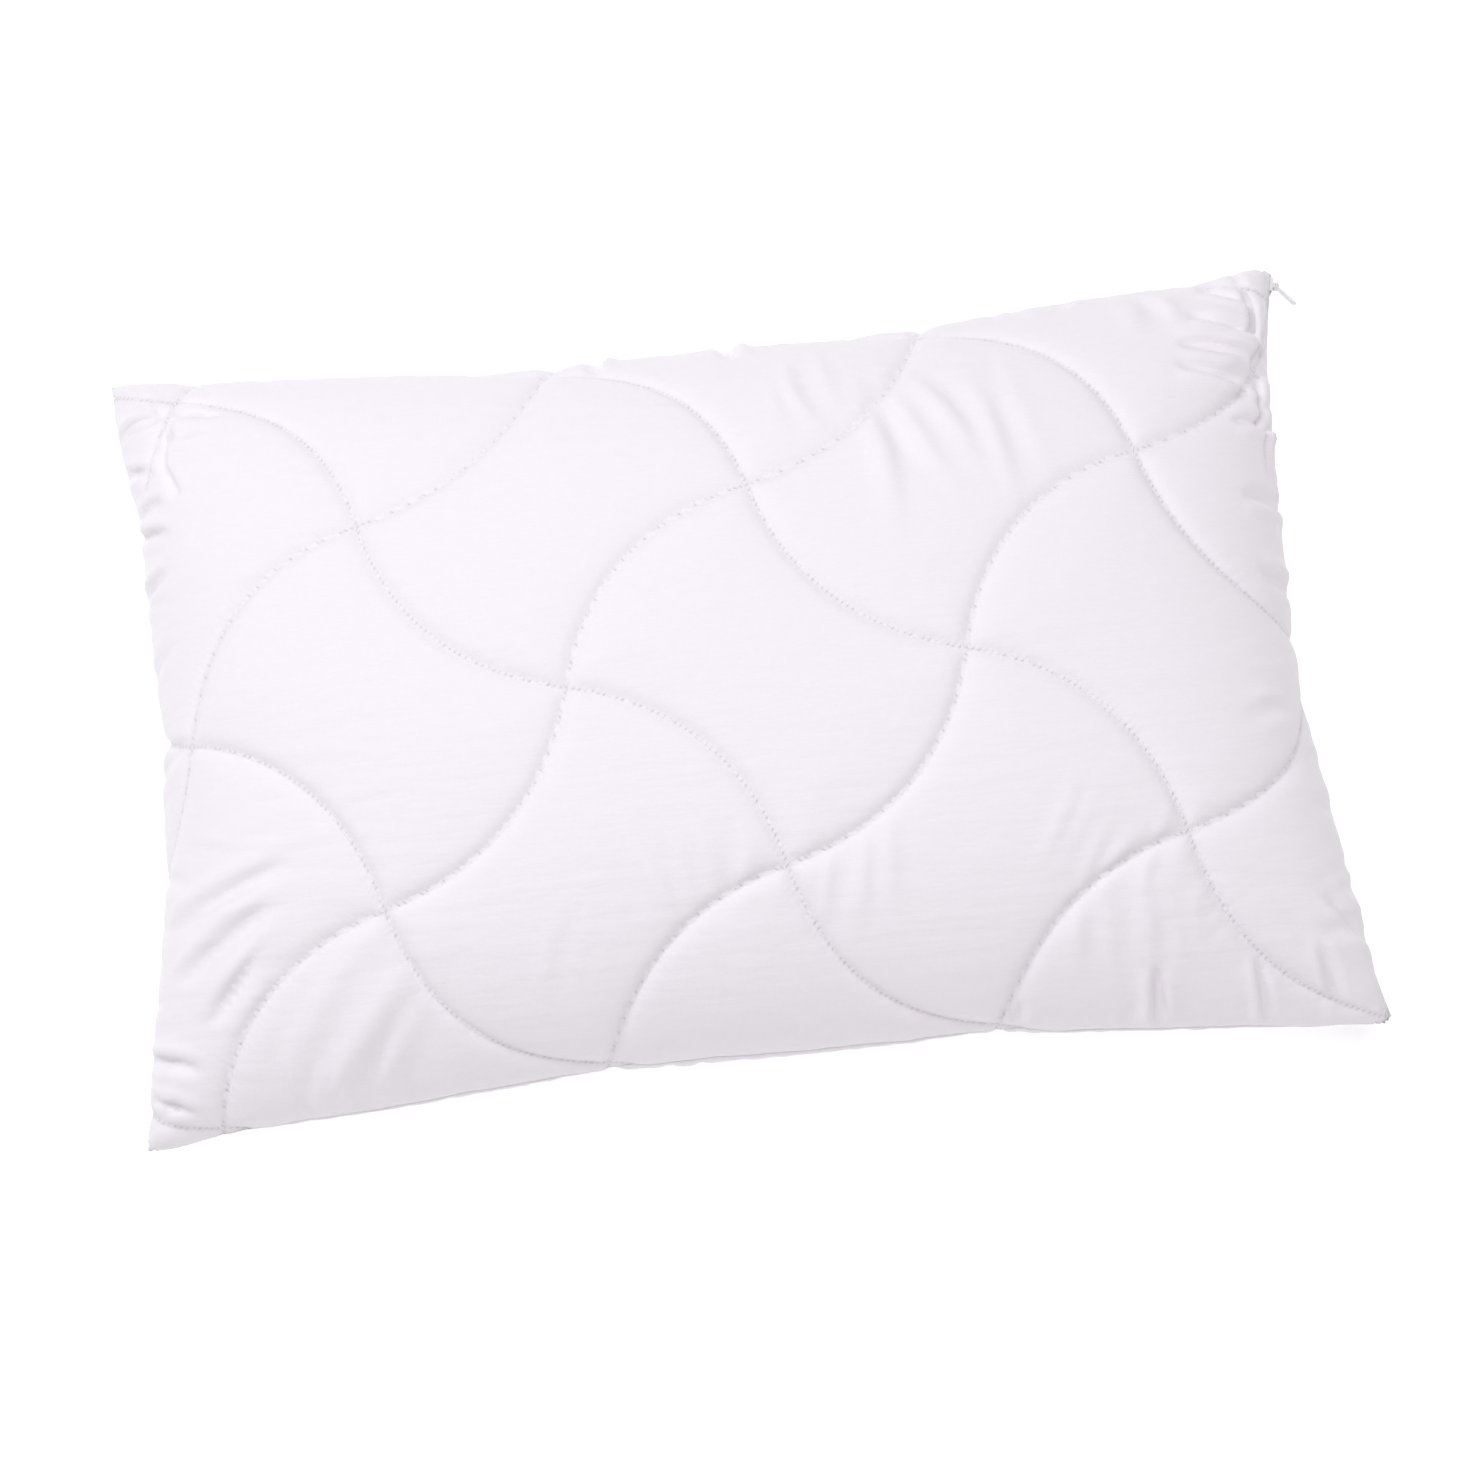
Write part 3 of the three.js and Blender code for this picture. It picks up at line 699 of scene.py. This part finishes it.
def add_cover(cover, panel, name, material, replaced):
    """One panel of outer fabric: a fine outside, a coarser inside and the turned edge between them."""
    points, normal = cover.panels[panel], cover.normals[panel]
    inside = (points - normal * CLOTH_THICK)[::2, ::2]
    index = np.arange(points[..., 0].size).reshape(points.shape[:2])
    inner = np.arange(inside[..., 0].size).reshape(inside.shape[:2]) + index.size
    outside_faces = cover_triangles(cover, index, points)
    quads = grid_quads(inner)[:, ::-1]
    inside_faces = np.concatenate([quads[:, [0, 1, 2]], quads[:, [0, 2, 3]]])
    rim, inner_rim = rim_of(index), rim_of(inner)
    here, between, there = rim[::2], rim[1::2], np.roll(rim[::2], -1)
    under, under_next = inner_rim, np.roll(inner_rim, -1)
    edge_faces = np.concatenate([
        np.stack([under, between, here], 1),
        np.stack([under, under_next, between], 1),
        np.stack([under_next, there, between], 1),
    ])
    faces = np.concatenate([outside_faces, inside_faces, edge_faces])
    if panel == BACK:
        faces = faces[:, ::-1]
    vertices = np.concatenate([points.reshape(-1, 3), inside.reshape(-1, 3)])
    uv = np.concatenate([cover.flat.reshape(-1, 2), cover.flat[::2, ::2].reshape(-1, 2)])
    made = add_piece(name, vertices, faces.tolist(), material, "outer_cloth", replaced, uv=uv)
    track = np.stack([cover.along, cover.near], -1)
    flat_uv(made.data, np.concatenate([track.reshape(-1, 2), track[::2, ::2].reshape(-1, 2)]), "stitch_track")
    return made


# ---------------------------------------------------------------- stitches

STITCH_SIDES = 6
# Along one stitch: place, height above the cloth in thread radii, and width in thread radii
STITCH_SHAPE = np.array([
    (-0.5, -1.2, 0.6),
    (-0.28, 0.1, 1.0),
    (0.0, 0.45, 1.0),
    (0.28, 0.1, 1.0),
    (0.5, -1.2, 0.6),
])
# The quilting's stitch pitch, which its pits in the cloth share
QUILT_STITCH = 0.0037
QUILTING_STITCH = {"pitch": QUILT_STITCH, "length": 0.0030, "radius": 0.00024, "slant": 0.0002}
SEAM_STITCH = {"pitch": 0.0028, "length": 0.0021, "radius": 0.0002, "slant": 0.0}
ZIP_STITCH = {"pitch": 0.0032, "length": 0.0025, "radius": 0.00024, "slant": 0.0002}
# Quilting lines with fewer grid points only cut a corner off and get no stitches
FEWEST_POINTS = 12


def unit(vectors):
    return vectors / np.linalg.norm(vectors, axis=-1, keepdims=True)


def interpolated(places, known, values):
    flat_places = places.ravel()
    columns = [np.interp(flat_places, known, values[:, k]) for k in range(values.shape[1])]
    return np.stack(columns, -1).reshape(places.shape + (-1,))


def stitch_rings(track, pitch, length, radius, slant):
    """Rings of the stitches along a track of (distance, points, outward normals)."""
    distance, points, normal = track
    first, last = np.ceil(distance[0] / pitch), np.floor(distance[-1] / pitch)
    middles = np.arange(first, last) * pitch + pitch / 2
    places = middles[:, None] + STITCH_SHAPE[:, 0] * length
    centre = interpolated(places, distance, points)
    out = unit(interpolated(places, distance, normal))
    tangent = unit(np.gradient(centre, axis=1))
    side = unit(np.cross(out, tangent))
    out = np.cross(tangent, side)
    centre = centre + out * (STITCH_SHAPE[:, 1] * radius)[:, None]
    centre = centre + side * (STITCH_SHAPE[:, 0] * slant)[:, None]
    angle = np.arange(STITCH_SIDES) * 2 * math.pi / STITCH_SIDES
    turn = side[:, :, None] * np.cos(angle)[:, None] + out[:, :, None] * np.sin(angle)[:, None]
    return centre[:, :, None] + turn * (STITCH_SHAPE[:, 2] * radius)[:, None, None]


def add_stitches(name, tracks, material, stitch, replaced):
    rings = np.concatenate([stitch_rings(track, **stitch) for track in tracks])
    vertices, faces = tubes(rings)
    return add_piece(name, vertices, faces, material, "thread", replaced)


def track_of(points, normal):
    """A track with its distances measured from point to point."""
    steps = np.linalg.norm(np.diff(points, axis=0), axis=1)
    return np.concatenate([[0], np.cumsum(steps)]), points, normal


def quilting_tracks(cover, panel):
    """The points of each quilting line on one panel, in order along it."""
    p = cover.flat[..., 0] / PITCH + MIDDLE_P
    q = cover.flat[..., 1] / PITCH + MIDDLE_Q
    tracks = []
    for index, (family, number) in enumerate(LINES):
        gap = across_line(p, q, family, number)[0]
        chosen = (cover.on_line == index) | ((cover.on_line == -2) & (np.abs(gap) < 1e-3))
        if chosen.sum() < FEWEST_POINTS:
            continue
        length = line_length((p - family * q + number)[chosen])
        order = np.argsort(length)
        points, normal = cover.panels[panel][chosen], cover.normals[panel][chosen]
        tracks.append((length[order], points[order], normal[order]))
    return tracks


def seam_tracks(cover):
    """The three sewn sides, looking outwards from the pillow."""
    seam = cover.panels[FRONT]
    sides = [(seam[:, 0], (-1, 0, 0)), (seam[0], (0, -1, 0)), (seam[-1], (0, 1, 0))]
    return [track_of(points, np.tile(np.array(out, float), (len(points), 1))) for points, out in sides]


# ---------------------------------------------------------------- inside the cover

# The layers keep every fourth grid point and stop two of those short of the edges
LAYER_STEP, LAYER_MARGIN = 4, 2
LAYER_POINTS = slice(LAYER_MARGIN * LAYER_STEP, -LAYER_MARGIN * LAYER_STEP, LAYER_STEP)
# How deep each face lies, and the most as a share of the gap between the panels
WADDING_TOP, WADDING_FOOT = 0.0014, (0.0050, 0.30)
LINING_TOP, LINING_FOOT = (0.0054, 0.33), (0.0060, 0.36)
FILLING_FACE = (0.0066, 0.40)


def lowest_near(heights, reach):
    """The least height within some grid cells of each point."""
    for axis in (1, 2):
        heights = np.min([np.roll(heights, shift, axis) for shift in range(-reach, reach + 1)], axis=0)
    return heights


def inner_layers(cover):
    """The surfaces inside the cover, on a coarser grid, as a function of panel and depth."""
    normal = normals(cover.base)
    puff = ((cover.panels - cover.base) * normal).sum(3)
    puff = lowest_near(puff, LAYER_STEP)[:, LAYER_POINTS, LAYER_POINTS, None]
    base, normal = cover.base[:, LAYER_POINTS, LAYER_POINTS], normal[:, LAYER_POINTS, LAYER_POINTS]
    inward = base[BACK] - base[FRONT]
    gap = np.linalg.norm(inward, axis=-1, keepdims=True)

    def under_fabric(panel, below):
        return base[panel] + normal[panel] * (puff[panel] - below)

    def under_base(panel, below, most):
        """The surface that lies below a panel's smooth one, at most a share of the gap deep."""
        sign = 1 if panel == FRONT else -1
        return base[panel] + sign * inward / gap * np.minimum(below, most * gap)

    return under_fabric, under_base


def add_inner_pieces(cover, materials):
    under_fabric, under_base = inner_layers(cover)
    flat = cover.flat[LAYER_POINTS, LAYER_POINTS].reshape(-1, 2)
    uv = np.concatenate([flat, flat])
    for panel, word in ((FRONT, "front"), (BACK, "back")):
        layers = {
            "wadding": (under_fabric(panel, WADDING_TOP), under_base(panel, *WADDING_FOOT)),
            "lining": (under_base(panel, *LINING_TOP), under_base(panel, *LINING_FOOT)),
        }
        for kind, (top, bottom) in layers.items():
            if panel == BACK:
                top, bottom = bottom, top
            vertices, faces = closed_sheet(top, bottom)
            add_piece(f"{word}_{kind}_layer", vertices, faces, materials[kind], kind,
                                         f"{word}_{kind}", uv=uv)
    vertices, faces = closed_sheet(under_base(FRONT, *FILLING_FACE), under_base(BACK, *FILLING_FACE))
    filling = add_piece("loose_filling", vertices, faces, materials["fibre"], "fibre", "fibre_filling", uv=uv)


# ---------------------------------------------------------------- zip

# The tapes: how far outside the zip's arc they stand, heights of their free part above its middle,
# and the columns of the cover that the rest follows, this far below its surface
TAPE_DEPTH, TAPE_THICK, TAPE_WIDTH = 0.0013, 0.0005, 0.012
TAPE_HEIGHTS = (0.0009, 0.0018, 0.0027, 0.0036)
TAPE_COLUMNS = (-2, -3, -4, -5)
TAPE_UNDER = 0.0016
# The coils: half their length, middle height above the zip's, and half their size across and up
COIL_PITCH, COIL_WIRE, COIL_END = 0.0014, 0.0003, 0.2296
COIL_MIDDLE, COIL_ACROSS, COIL_UP = 0.00112, 0.0007, 0.00142
COIL_STEPS, COIL_SIDES = 12, 6
# The column of the cover that the zip's stitching follows
ZIP_STITCH_COLUMN = -3
# Angles at which faces count as flat, edges get rounded and shading stays sharp
FLAT_ANGLE, ROUNDED_ANGLE, SHARP_ANGLE = math.radians(1), math.radians(35), math.radians(40)


def zip_place(depth, along, height):
    """A point of the zip: outwards from its arc, along the arc and above its middle."""
    angle = along / SHORT_RADIUS
    radius = SHORT_RADIUS - depth
    x, y = ZIP_CENTRE_X - radius * np.cos(angle), radius * np.sin(angle)
    return np.stack(np.broadcast_arrays(x, y, SEAM_Z + height), -1)


def add_tape(cover, panel, word, material):
    """A tape's free edge stands beside the teeth, and the rest of it is sewn under the fabric."""
    side = 1 if panel == FRONT else -1
    rows = slice(1, -1)
    y = cover.panels[panel, rows, -1, 1]
    along = np.arcsin(y / SHORT_RADIUS) * SHORT_RADIUS
    closing = zip_opening(y / CORNER_Y) ** 2
    surface, thick = [], []
    for height in TAPE_HEIGHTS:
        outer = zip_place(-TAPE_DEPTH, along, side * height * closing)
        surface.append(outer)
        thick.append(outer - zip_place(-TAPE_DEPTH - TAPE_THICK, along, side * height * closing))
    for column in TAPE_COLUMNS:
        normal = cover.normals[panel, rows, column]
        surface.append(cover.panels[panel, rows, column] - normal * TAPE_UNDER)
        thick.append(normal * TAPE_THICK)
    top, thickness = np.stack(surface, 1), np.stack(thick, 1)
    bottom = top - thickness
    if panel == FRONT:
        top, bottom = top[:, ::-1], bottom[:, ::-1]
    vertices, faces = closed_sheet(top, bottom)
    width = np.tile(np.linspace(0, TAPE_WIDTH, top.shape[1]), (top.shape[0], 1))
    uv = np.stack([width, np.tile(along[:, None], (1, top.shape[1]))], -1).reshape(-1, 2)
    add_piece(f"zip_tape_{word}_woven", vertices, faces, material, "zip_tape", f"zip_tape_{word}",
              uv=np.concatenate([uv, uv]))


def add_coil(side, word, material):
    """A helix of nylon wire whose inner bends hook between those of the other coil."""
    turns = int(2 * COIL_END / COIL_PITCH)
    phase = np.arange(turns * COIL_STEPS + 1) * 2 * math.pi / COIL_STEPS
    along = -COIL_END + COIL_PITCH * (phase / (2 * math.pi) + 0.25 * side + 0.25)
    height = side * (COIL_MIDDLE + COIL_UP * np.cos(phase))
    centre = zip_place(COIL_ACROSS * np.sin(phase), along, height)
    tangent = unit(np.gradient(centre, axis=0))
    up = np.tile(np.array([0.0, 1.0, 0.0]), (len(centre), 1))
    first = unit(np.cross(up, tangent))
    second = np.cross(tangent, first)
    angle = np.arange(COIL_SIDES) * 2 * math.pi / COIL_SIDES
    ring = first[:, None] * np.cos(angle)[:, None] + second[:, None] * np.sin(angle)[:, None]
    vertices, faces = tubes((centre[:, None] + ring * COIL_WIRE)[None])
    add_piece(f"zip_coil_{word}_wire", vertices, faces, material, "zip_coil", f"zip_coil_{word}")


def add_metal(node, name, material, body, radius):
    """A metal CAD piece with its flat faces merged and its edges rounded."""
    mesh = bpy.data.meshes.new(name)
    shape = bmesh.new()
    shape.from_mesh(frame["nodes"][node].data)
    bmesh.ops.remove_doubles(shape, verts=shape.verts, dist=1e-6)
    bmesh.ops.dissolve_limit(shape, angle_limit=FLAT_ANGLE, verts=shape.verts, edges=shape.edges)
    sharp = [edge for edge in shape.edges if edge.is_manifold and edge.calc_face_angle() > ROUNDED_ANGLE]
    bmesh.ops.bevel(shape, geom=sharp, offset=radius, segments=2, profile=0.5, affect="EDGES",
                    clamp_overlap=True)
    bmesh.ops.triangulate(shape, faces=shape.faces)
    shape.to_mesh(mesh)
    shape.free()
    mesh.shade_smooth()
    mesh.set_sharp_from_angle(angle=SHARP_ANGLE)
    add_mesh(mesh, material, "zip_metal", body, node)


def add_zip(cover, materials):
    metal = materials["metal"]
    for panel, word, side in ((FRONT, "upper", 1), (BACK, "lower", -1)):
        add_tape(cover, panel, word, materials["tape"])
        add_coil(side, word, materials["nylon"])
        stitched = panel, slice(3, -3), ZIP_STITCH_COLUMN
        track = track_of(cover.panels[stitched], cover.normals[stitched])
        add_stitches(f"zip_topstitch_{word}", [track], materials["thread"], ZIP_STITCH,
                     f"zip_stitching_{word}")
        add_metal(f"zip_top_stop_{word}", f"zip_end_clip_{word}", metal, "pillow", 0.0002)
    add_metal("zip_bottom_stop", "zip_box_stop", metal, "pillow", 0.0002)
    add_metal("zip_slider", "zip_slider_body", metal, "slider", 0.00022)
    add_metal("zip_slider_pin", "zip_slider_rivet", metal, "slider", 0.00015)
    add_metal("zip_pull_tab", "zip_puller", metal, "pull_tab", 0.00025)


# ---------------------------------------------------------------- care label

LABEL_WIDE, LABEL_LONG = 0.03, 0.042
LABEL_HALF_THICK = 0.00017
# How far it stands off the CAD label, arches across and curls at its foot about this place across
LABEL_OFF, LABEL_ARCH, LABEL_CURL, CURL_PLACE = 0.0002, 0.0016, 0.0022, 0.3


def add_label(material):
    """A soft strip that hangs from the seam, a little curled across and at its foot."""
    low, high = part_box("care_label")
    left, right = Vector((low.x, high.y, 0)), Vector((high.x, low.y, 0))
    u, v = np.meshgrid(np.linspace(0, 1, 17), np.linspace(0, 1, 25))
    along = np.array(right - left)
    slope = along / np.linalg.norm(along)
    out = np.array([-slope[1], slope[0], 0.0])
    drop = 1 - v
    bulge = LABEL_ARCH * np.sin(math.pi * u) * drop + LABEL_CURL * drop**2 * (u - CURL_PLACE)
    middle = np.array(left)[None, None] + along * u[..., None] + out * (bulge + LABEL_OFF)[..., None]
    middle = middle + np.array([0, 0, 1.0]) * (low.z + (high.z - low.z) * v)[..., None]
    half = out * LABEL_HALF_THICK
    vertices, faces = closed_sheet(middle - half, middle + half)
    uv = np.stack([u * LABEL_WIDE, v * LABEL_LONG], -1).reshape(-1, 2)
    label = add_piece("care_label_strip", vertices, faces, material, "label", "care_label", body="label",
                      uv=np.concatenate([uv, uv]))


# ---------------------------------------------------------------- materials

class Look:
    """A material being built: its nodes, its shader and short names for common nodes."""

    def __init__(self, name, color, roughness, **sockets):
        self.material = bpy.data.materials.new(name)
        self.material.use_nodes = True
        self.tree = self.material.node_tree
        self.shader = self.tree.nodes["Principled BSDF"]
        self.shader.inputs["Base Color"].default_value = (*color, 1)
        self.shader.inputs["Roughness"].default_value = roughness
        for socket, value in sockets.items():
            self.shader.inputs[socket.replace("_", " ")].default_value = value

    def node(self, kind, **values):
        made = self.tree.nodes.new("ShaderNode" + kind)
        for name, value in values.items():
            if hasattr(made, name):
                setattr(made, name, value)
            else:
                made.inputs[name].default_value = value
        return made

    def link(self, output, target):
        self.tree.links.new(output, target)

    def math(self, operation, *values):
        made = self.node("Math", operation=operation)
        for socket, value in zip(made.inputs, values):
            if isinstance(value, (int, float)):
                socket.default_value = value
            else:
                self.link(value, socket)
        return made.outputs[0]

    def plane(self, uv_map):
        """The two numbers of a UV map, as separate outputs."""
        source = self.node("UVMap", uv_map=uv_map)
        split = self.node("SeparateXYZ")
        self.link(source.outputs["UV"], split.inputs[0])
        return split.outputs[0], split.outputs[1]

    def noise(self, x, y, scale_x, scale_y, detail=2.0, roughness=0.5):
        """Noise in the plane of x and y, with so many lumps to the metre each way."""
        place = self.node("CombineXYZ")
        self.link(self.math("MULTIPLY", x, scale_x), place.inputs[0])
        self.link(self.math("MULTIPLY", y, scale_y), place.inputs[1])
        made = self.node("TexNoise", Scale=1.0, Detail=detail, Roughness=roughness)
        self.link(place.outputs[0], made.inputs["Vector"])
        return made.outputs["Fac"]

    def lumps(self, scale, detail=3.0):
        """Noise in space, with so many lumps to the metre."""
        place = self.node("TexCoord")
        made = self.node("TexNoise", Scale=scale, Detail=detail)
        self.link(place.outputs["Object"], made.inputs["Vector"])
        return made.outputs["Fac"]

    def threads(self, x, y, pitch):
        """The height of a plain weave with that many metres from thread to thread."""
        turns = 2 * math.pi / pitch
        warp = self.math("SINE", self.math("MULTIPLY", x, turns))
        weft = self.math("SINE", self.math("MULTIPLY", y, turns))
        return self.math("MULTIPLY", warp, weft)

    def fading(self, distance, reach):
        """A factor that fades from 1 with distance."""
        return self.math("EXPONENT", self.math("MULTIPLY", distance, -1 / reach))

    def bump(self, height, strength, distance):
        made = self.node("Bump", Strength=strength, Distance=distance)
        self.link(height, made.inputs["Height"])
        if self.shader.inputs["Normal"].is_linked:
            self.link(self.shader.inputs["Normal"].links[0].from_socket, made.inputs["Normal"])
        self.link(made.outputs["Normal"], self.shader.inputs["Normal"])

    def tint(self, fac, dark, light):
        """Colour between two tones by a factor from 0 to 1."""
        mix = self.node("Mix", data_type="RGBA")
        mix.inputs[6].default_value = (*dark, 1)
        mix.inputs[7].default_value = (*light, 1)
        self.link(fac, mix.inputs[0])
        self.link(mix.outputs[2], self.shader.inputs["Base Color"])

    def paint_shade(self, fac, tone):
        """Paints shade: moves the colour towards a darker tone by a factor from 0 to 1."""
        mix = self.node("Mix", data_type="RGBA")
        self.link(self.shader.inputs["Base Color"].links[0].from_socket, mix.inputs[6])
        mix.inputs[7].default_value = (*tone, 1)
        self.link(fac, mix.inputs[0])
        self.link(mix.outputs[2], self.shader.inputs["Base Color"])


THREAD_PITCH = 0.00045
# How far from a quilting line the cloth is tucked and pierced, and how far the painted shade of its groove
# reaches
TUCK_REACH, HOLE_REACH, GROOVE_SHADE_REACH = 0.0040, 0.0019, 0.0012
# How strongly painted shade darkens the grooves and the needle holes
GROOVE_PAINTED_SHADE, HOLE_PAINTED_SHADE = 0.15, 0.34


def outer_cloth():
    """Fine white microfibre weave with slubs along X, drawn in and pierced along the quilting, with painted
    shade in its grooves and needle holes.
    """
    look = Look("outer_cloth_weave", (0.94, 0.9, 0.945), 0.62, Sheen_Weight=0.25, Sheen_Roughness=0.45,
                Specular_IOR_Level=0.35)
    x, y = look.plane("cloth")
    slub = look.noise(x, y, scale_x=90, scale_y=1500, detail=3.0)
    cross_slub = look.noise(x, y, scale_x=1500, scale_y=120, detail=2.0)
    both = look.math("ADD", slub, look.math("MULTIPLY", cross_slub, 0.5))
    soft = look.noise(x, y, scale_x=110, scale_y=150, detail=3.0)
    look.bump(soft, strength=0.35, distance=0.0007)
    wrinkles = look.noise(x, y, scale_x=16, scale_y=95, detail=2.5)
    look.bump(wrinkles, strength=0.5, distance=0.0016)
    look.bump(both, strength=0.30, distance=0.00025)
    look.bump(look.threads(x, y, THREAD_PITCH), strength=0.35, distance=0.0001)
    along, away = look.plane("stitch_track")
    drawn = look.fading(away, TUCK_REACH)
    tucks = look.noise(along, away, scale_x=260, scale_y=30, detail=1.0)
    look.bump(look.math("MULTIPLY", tucks, drawn), strength=0.7, distance=0.0014)
    beat = look.math("COSINE", look.math("MULTIPLY", along, 2 * math.pi / QUILT_STITCH))
    beat = look.math("POWER", look.math("MAXIMUM", beat, 0.0), 3.0)
    close = look.math("SUBTRACT", 1.0, look.math("MULTIPLY", away, 1 / HOLE_REACH))
    hole = look.math("MULTIPLY", look.math("MAXIMUM", close, 0.0), beat)
    look.bump(look.math("SUBTRACT", 1.0, hole), strength=0.6, distance=0.0004)
    # Painted shade: the colour is darkened along each quilting line's groove and at its needle holes, where
    # the creases and holes fall into shade
    groove_shade_fade = look.fading(away, GROOVE_SHADE_REACH)
    look.tint(look.math("MULTIPLY", both, 0.667), dark=(0.87, 0.83, 0.875), light=(0.955, 0.912, 0.97))
    groove_painted_shade = look.math("MULTIPLY", groove_shade_fade, GROOVE_PAINTED_SHADE)
    hole_painted_shade = look.math("MULTIPLY", hole, HOLE_PAINTED_SHADE)
    look.paint_shade(look.math("ADD", groove_painted_shade, hole_painted_shade), tone=(0.42, 0.36, 0.42))
    return look.material


def woven(name, dark, light, pitch, roughness, **sockets):
    """A plain woven tape or strip."""
    look = Look(name, light, roughness, **sockets)
    x, y = look.plane("cloth")
    look.tint(look.noise(x, y, scale_x=500, scale_y=500, detail=2.0), dark, light)
    look.bump(look.threads(x, y, pitch), strength=0.6, distance=0.0002)
    return look.material


def fluffy(name, dark, light, scale, depth):
    """Loose or matted fibres."""
    look = Look(name, light, 0.95, Sheen_Weight=0.4)
    look.tint(look.lumps(scale), dark, light)
    look.bump(look.lumps(scale * 4, detail=6.0), strength=0.8, distance=depth)
    return look.material


def spun_thread():
    look = Look("sewing_thread", (0.91, 0.87, 0.915), 0.5, Sheen_Weight=0.2)
    look.bump(look.lumps(4000, detail=1.0), strength=0.4, distance=0.0001)
    look.tint(look.lumps(900), dark=(0.83, 0.79, 0.83), light=(0.94, 0.90, 0.945))
    return look.material


def nylon():
    look = Look("zip_nylon", (0.93, 0.91, 0.94), 0.3, Subsurface_Weight=0.1, Subsurface_Scale=0.001)
    look.tint(look.lumps(700), dark=(0.90, 0.88, 0.91), light=(0.95, 0.93, 0.96))
    return look.material


def white_metal():
    look = Look("zip_lacquered_metal", (0.88, 0.88, 0.89), 0.28, Coat_Weight=0.5, Coat_Roughness=0.15)
    look.tint(look.lumps(500), dark=(0.84, 0.84, 0.85), light=(0.90, 0.90, 0.91))
    look.bump(look.lumps(1800, detail=2.0), strength=0.15, distance=0.00008)
    return look.material


def make_materials():
    return {
        "cloth": outer_cloth(),
        "thread": spun_thread(),
        "wadding": fluffy("wadding_fleece", (0.86, 0.86, 0.84), (0.95, 0.95, 0.93), 160, 0.0012),
        "lining": woven("lining_fleece", (0.84, 0.84, 0.82), (0.93, 0.93, 0.91), 0.0008, 0.85),
        "fibre": fluffy("hollow_fibre", (0.88, 0.88, 0.88), (0.97, 0.97, 0.97), 90, 0.003),
        "tape": woven("zip_tape_weave", (0.86, 0.83, 0.87), (0.93, 0.90, 0.94), 0.0007, 0.7,
                      Sheen_Weight=0.2),
        "nylon": nylon(),
        "metal": white_metal(),
        "label": woven("label_satin", (0.89, 0.87, 0.89), (0.95, 0.93, 0.955), 0.0005, 0.45,
                       Sheen_Weight=0.3),
    }


# ---------------------------------------------------------------- the pillow

def build_pillow():
    materials = make_materials()
    thread = materials["thread"]
    cover = quilt(fill_case())
    for panel, word in ((FRONT, "front"), (BACK, "back")):
        made = add_cover(cover, panel, f"{word}_cover", materials["cloth"], f"{word}_outer_fabric")
        stitches = add_stitches(f"{word}_quilting_stitches", quilting_tracks(cover, panel), thread,
                                QUILTING_STITCH, f"{word}_quilting_thread")
    add_stitches("seam_stitches", seam_tracks(cover), thread, SEAM_STITCH, "seam_thread")
    add_inner_pieces(cover, materials)
    add_zip(cover, materials)
    add_label(materials["label"])


# ---------------------------------------------------------------- stage

CAMERA_AZIMUTH, CAMERA_ELEVATION = math.radians(1.92), math.radians(73.84)
CAMERA_ROLL = math.radians(-3.99)
CAMERA_DISTANCE, CAMERA_LENS, SENSOR_WIDTH = 1.829, 76.8, 36
CAMERA_AIM = Vector((-0.0012, -0.0241, 0.07))
FLOOR_HALF, FLOOR_DROP, FLOOR_GLOW = 6, 0.0005, 0.38
WORLD_COLOR, WORLD_STRENGTH = (1.0, 0.99, 0.985, 1), 0.46
# Name, place, size, power and colour
LIGHTS = [
    ("key", (-1.2, 1.0, 1.8), 0.4, 10.5, (0.955, 0.965, 1.0)),
    ("top", (-0.1, 0.1, 2.5), 1.3, 27, (0.99, 0.985, 1.0)),
]


def add_floor():
    look = Look("pale_floor", (0.97, 0.97, 0.97), 0.9)
    look.shader.inputs["Emission Color"].default_value = (1, 1, 1, 1)
    look.shader.inputs["Emission Strength"].default_value = FLOOR_GLOW
    mesh = bpy.data.meshes.new("floor")
    corners = [(x * FLOOR_HALF, y * FLOOR_HALF, 0) for x, y in ((-1, -1), (1, -1), (1, 1), (-1, 1))]
    mesh.from_pydata(corners, [], [(0, 1, 2, 3)])
    mesh.materials.append(look.material)
    floor = add_object("floor", mesh)
    floor.location.z = -FLOOR_DROP


def add_light(name, place, size, power, color):
    data = bpy.data.lights.new(name, "AREA")
    data.shape, data.size, data.energy, data.color = "DISK", size, power, color
    light = add_object(name, data)
    light.location = place
    light.rotation_euler = (-Vector(place)).to_track_quat("-Z", "Y").to_euler()


def add_world():
    world = bpy.data.worlds.new("studio")
    world.use_nodes = True
    background = world.node_tree.nodes["Background"]
    background.inputs["Color"].default_value = WORLD_COLOR
    background.inputs["Strength"].default_value = WORLD_STRENGTH
    bpy.context.scene.world = world


def add_camera():
    """The camera stands in front of the pillow, high above it and rolled a little."""
    forward = Vector((
        math.sin(CAMERA_AZIMUTH) * math.cos(CAMERA_ELEVATION),
        math.cos(CAMERA_AZIMUTH) * math.cos(CAMERA_ELEVATION),
        -math.sin(CAMERA_ELEVATION),
    ))
    data = bpy.data.cameras.new("camera")
    data.lens, data.sensor_width = CAMERA_LENS, SENSOR_WIDTH
    camera = add_object("camera", data)
    camera.rotation_mode = "QUATERNION"
    camera.rotation_quaternion = forward.to_track_quat("-Z", "Y") @ Quaternion((0, 0, 1), CAMERA_ROLL)
    camera.location = CAMERA_AIM - forward * CAMERA_DISTANCE
    bpy.context.scene.camera = camera


def add_stage():
    add_floor()
    for light in LIGHTS:
        add_light(*light)
    add_world()
    add_camera()
    bpy.context.scene.view_settings.view_transform = "Standard"


build_pillow()
add_stage()
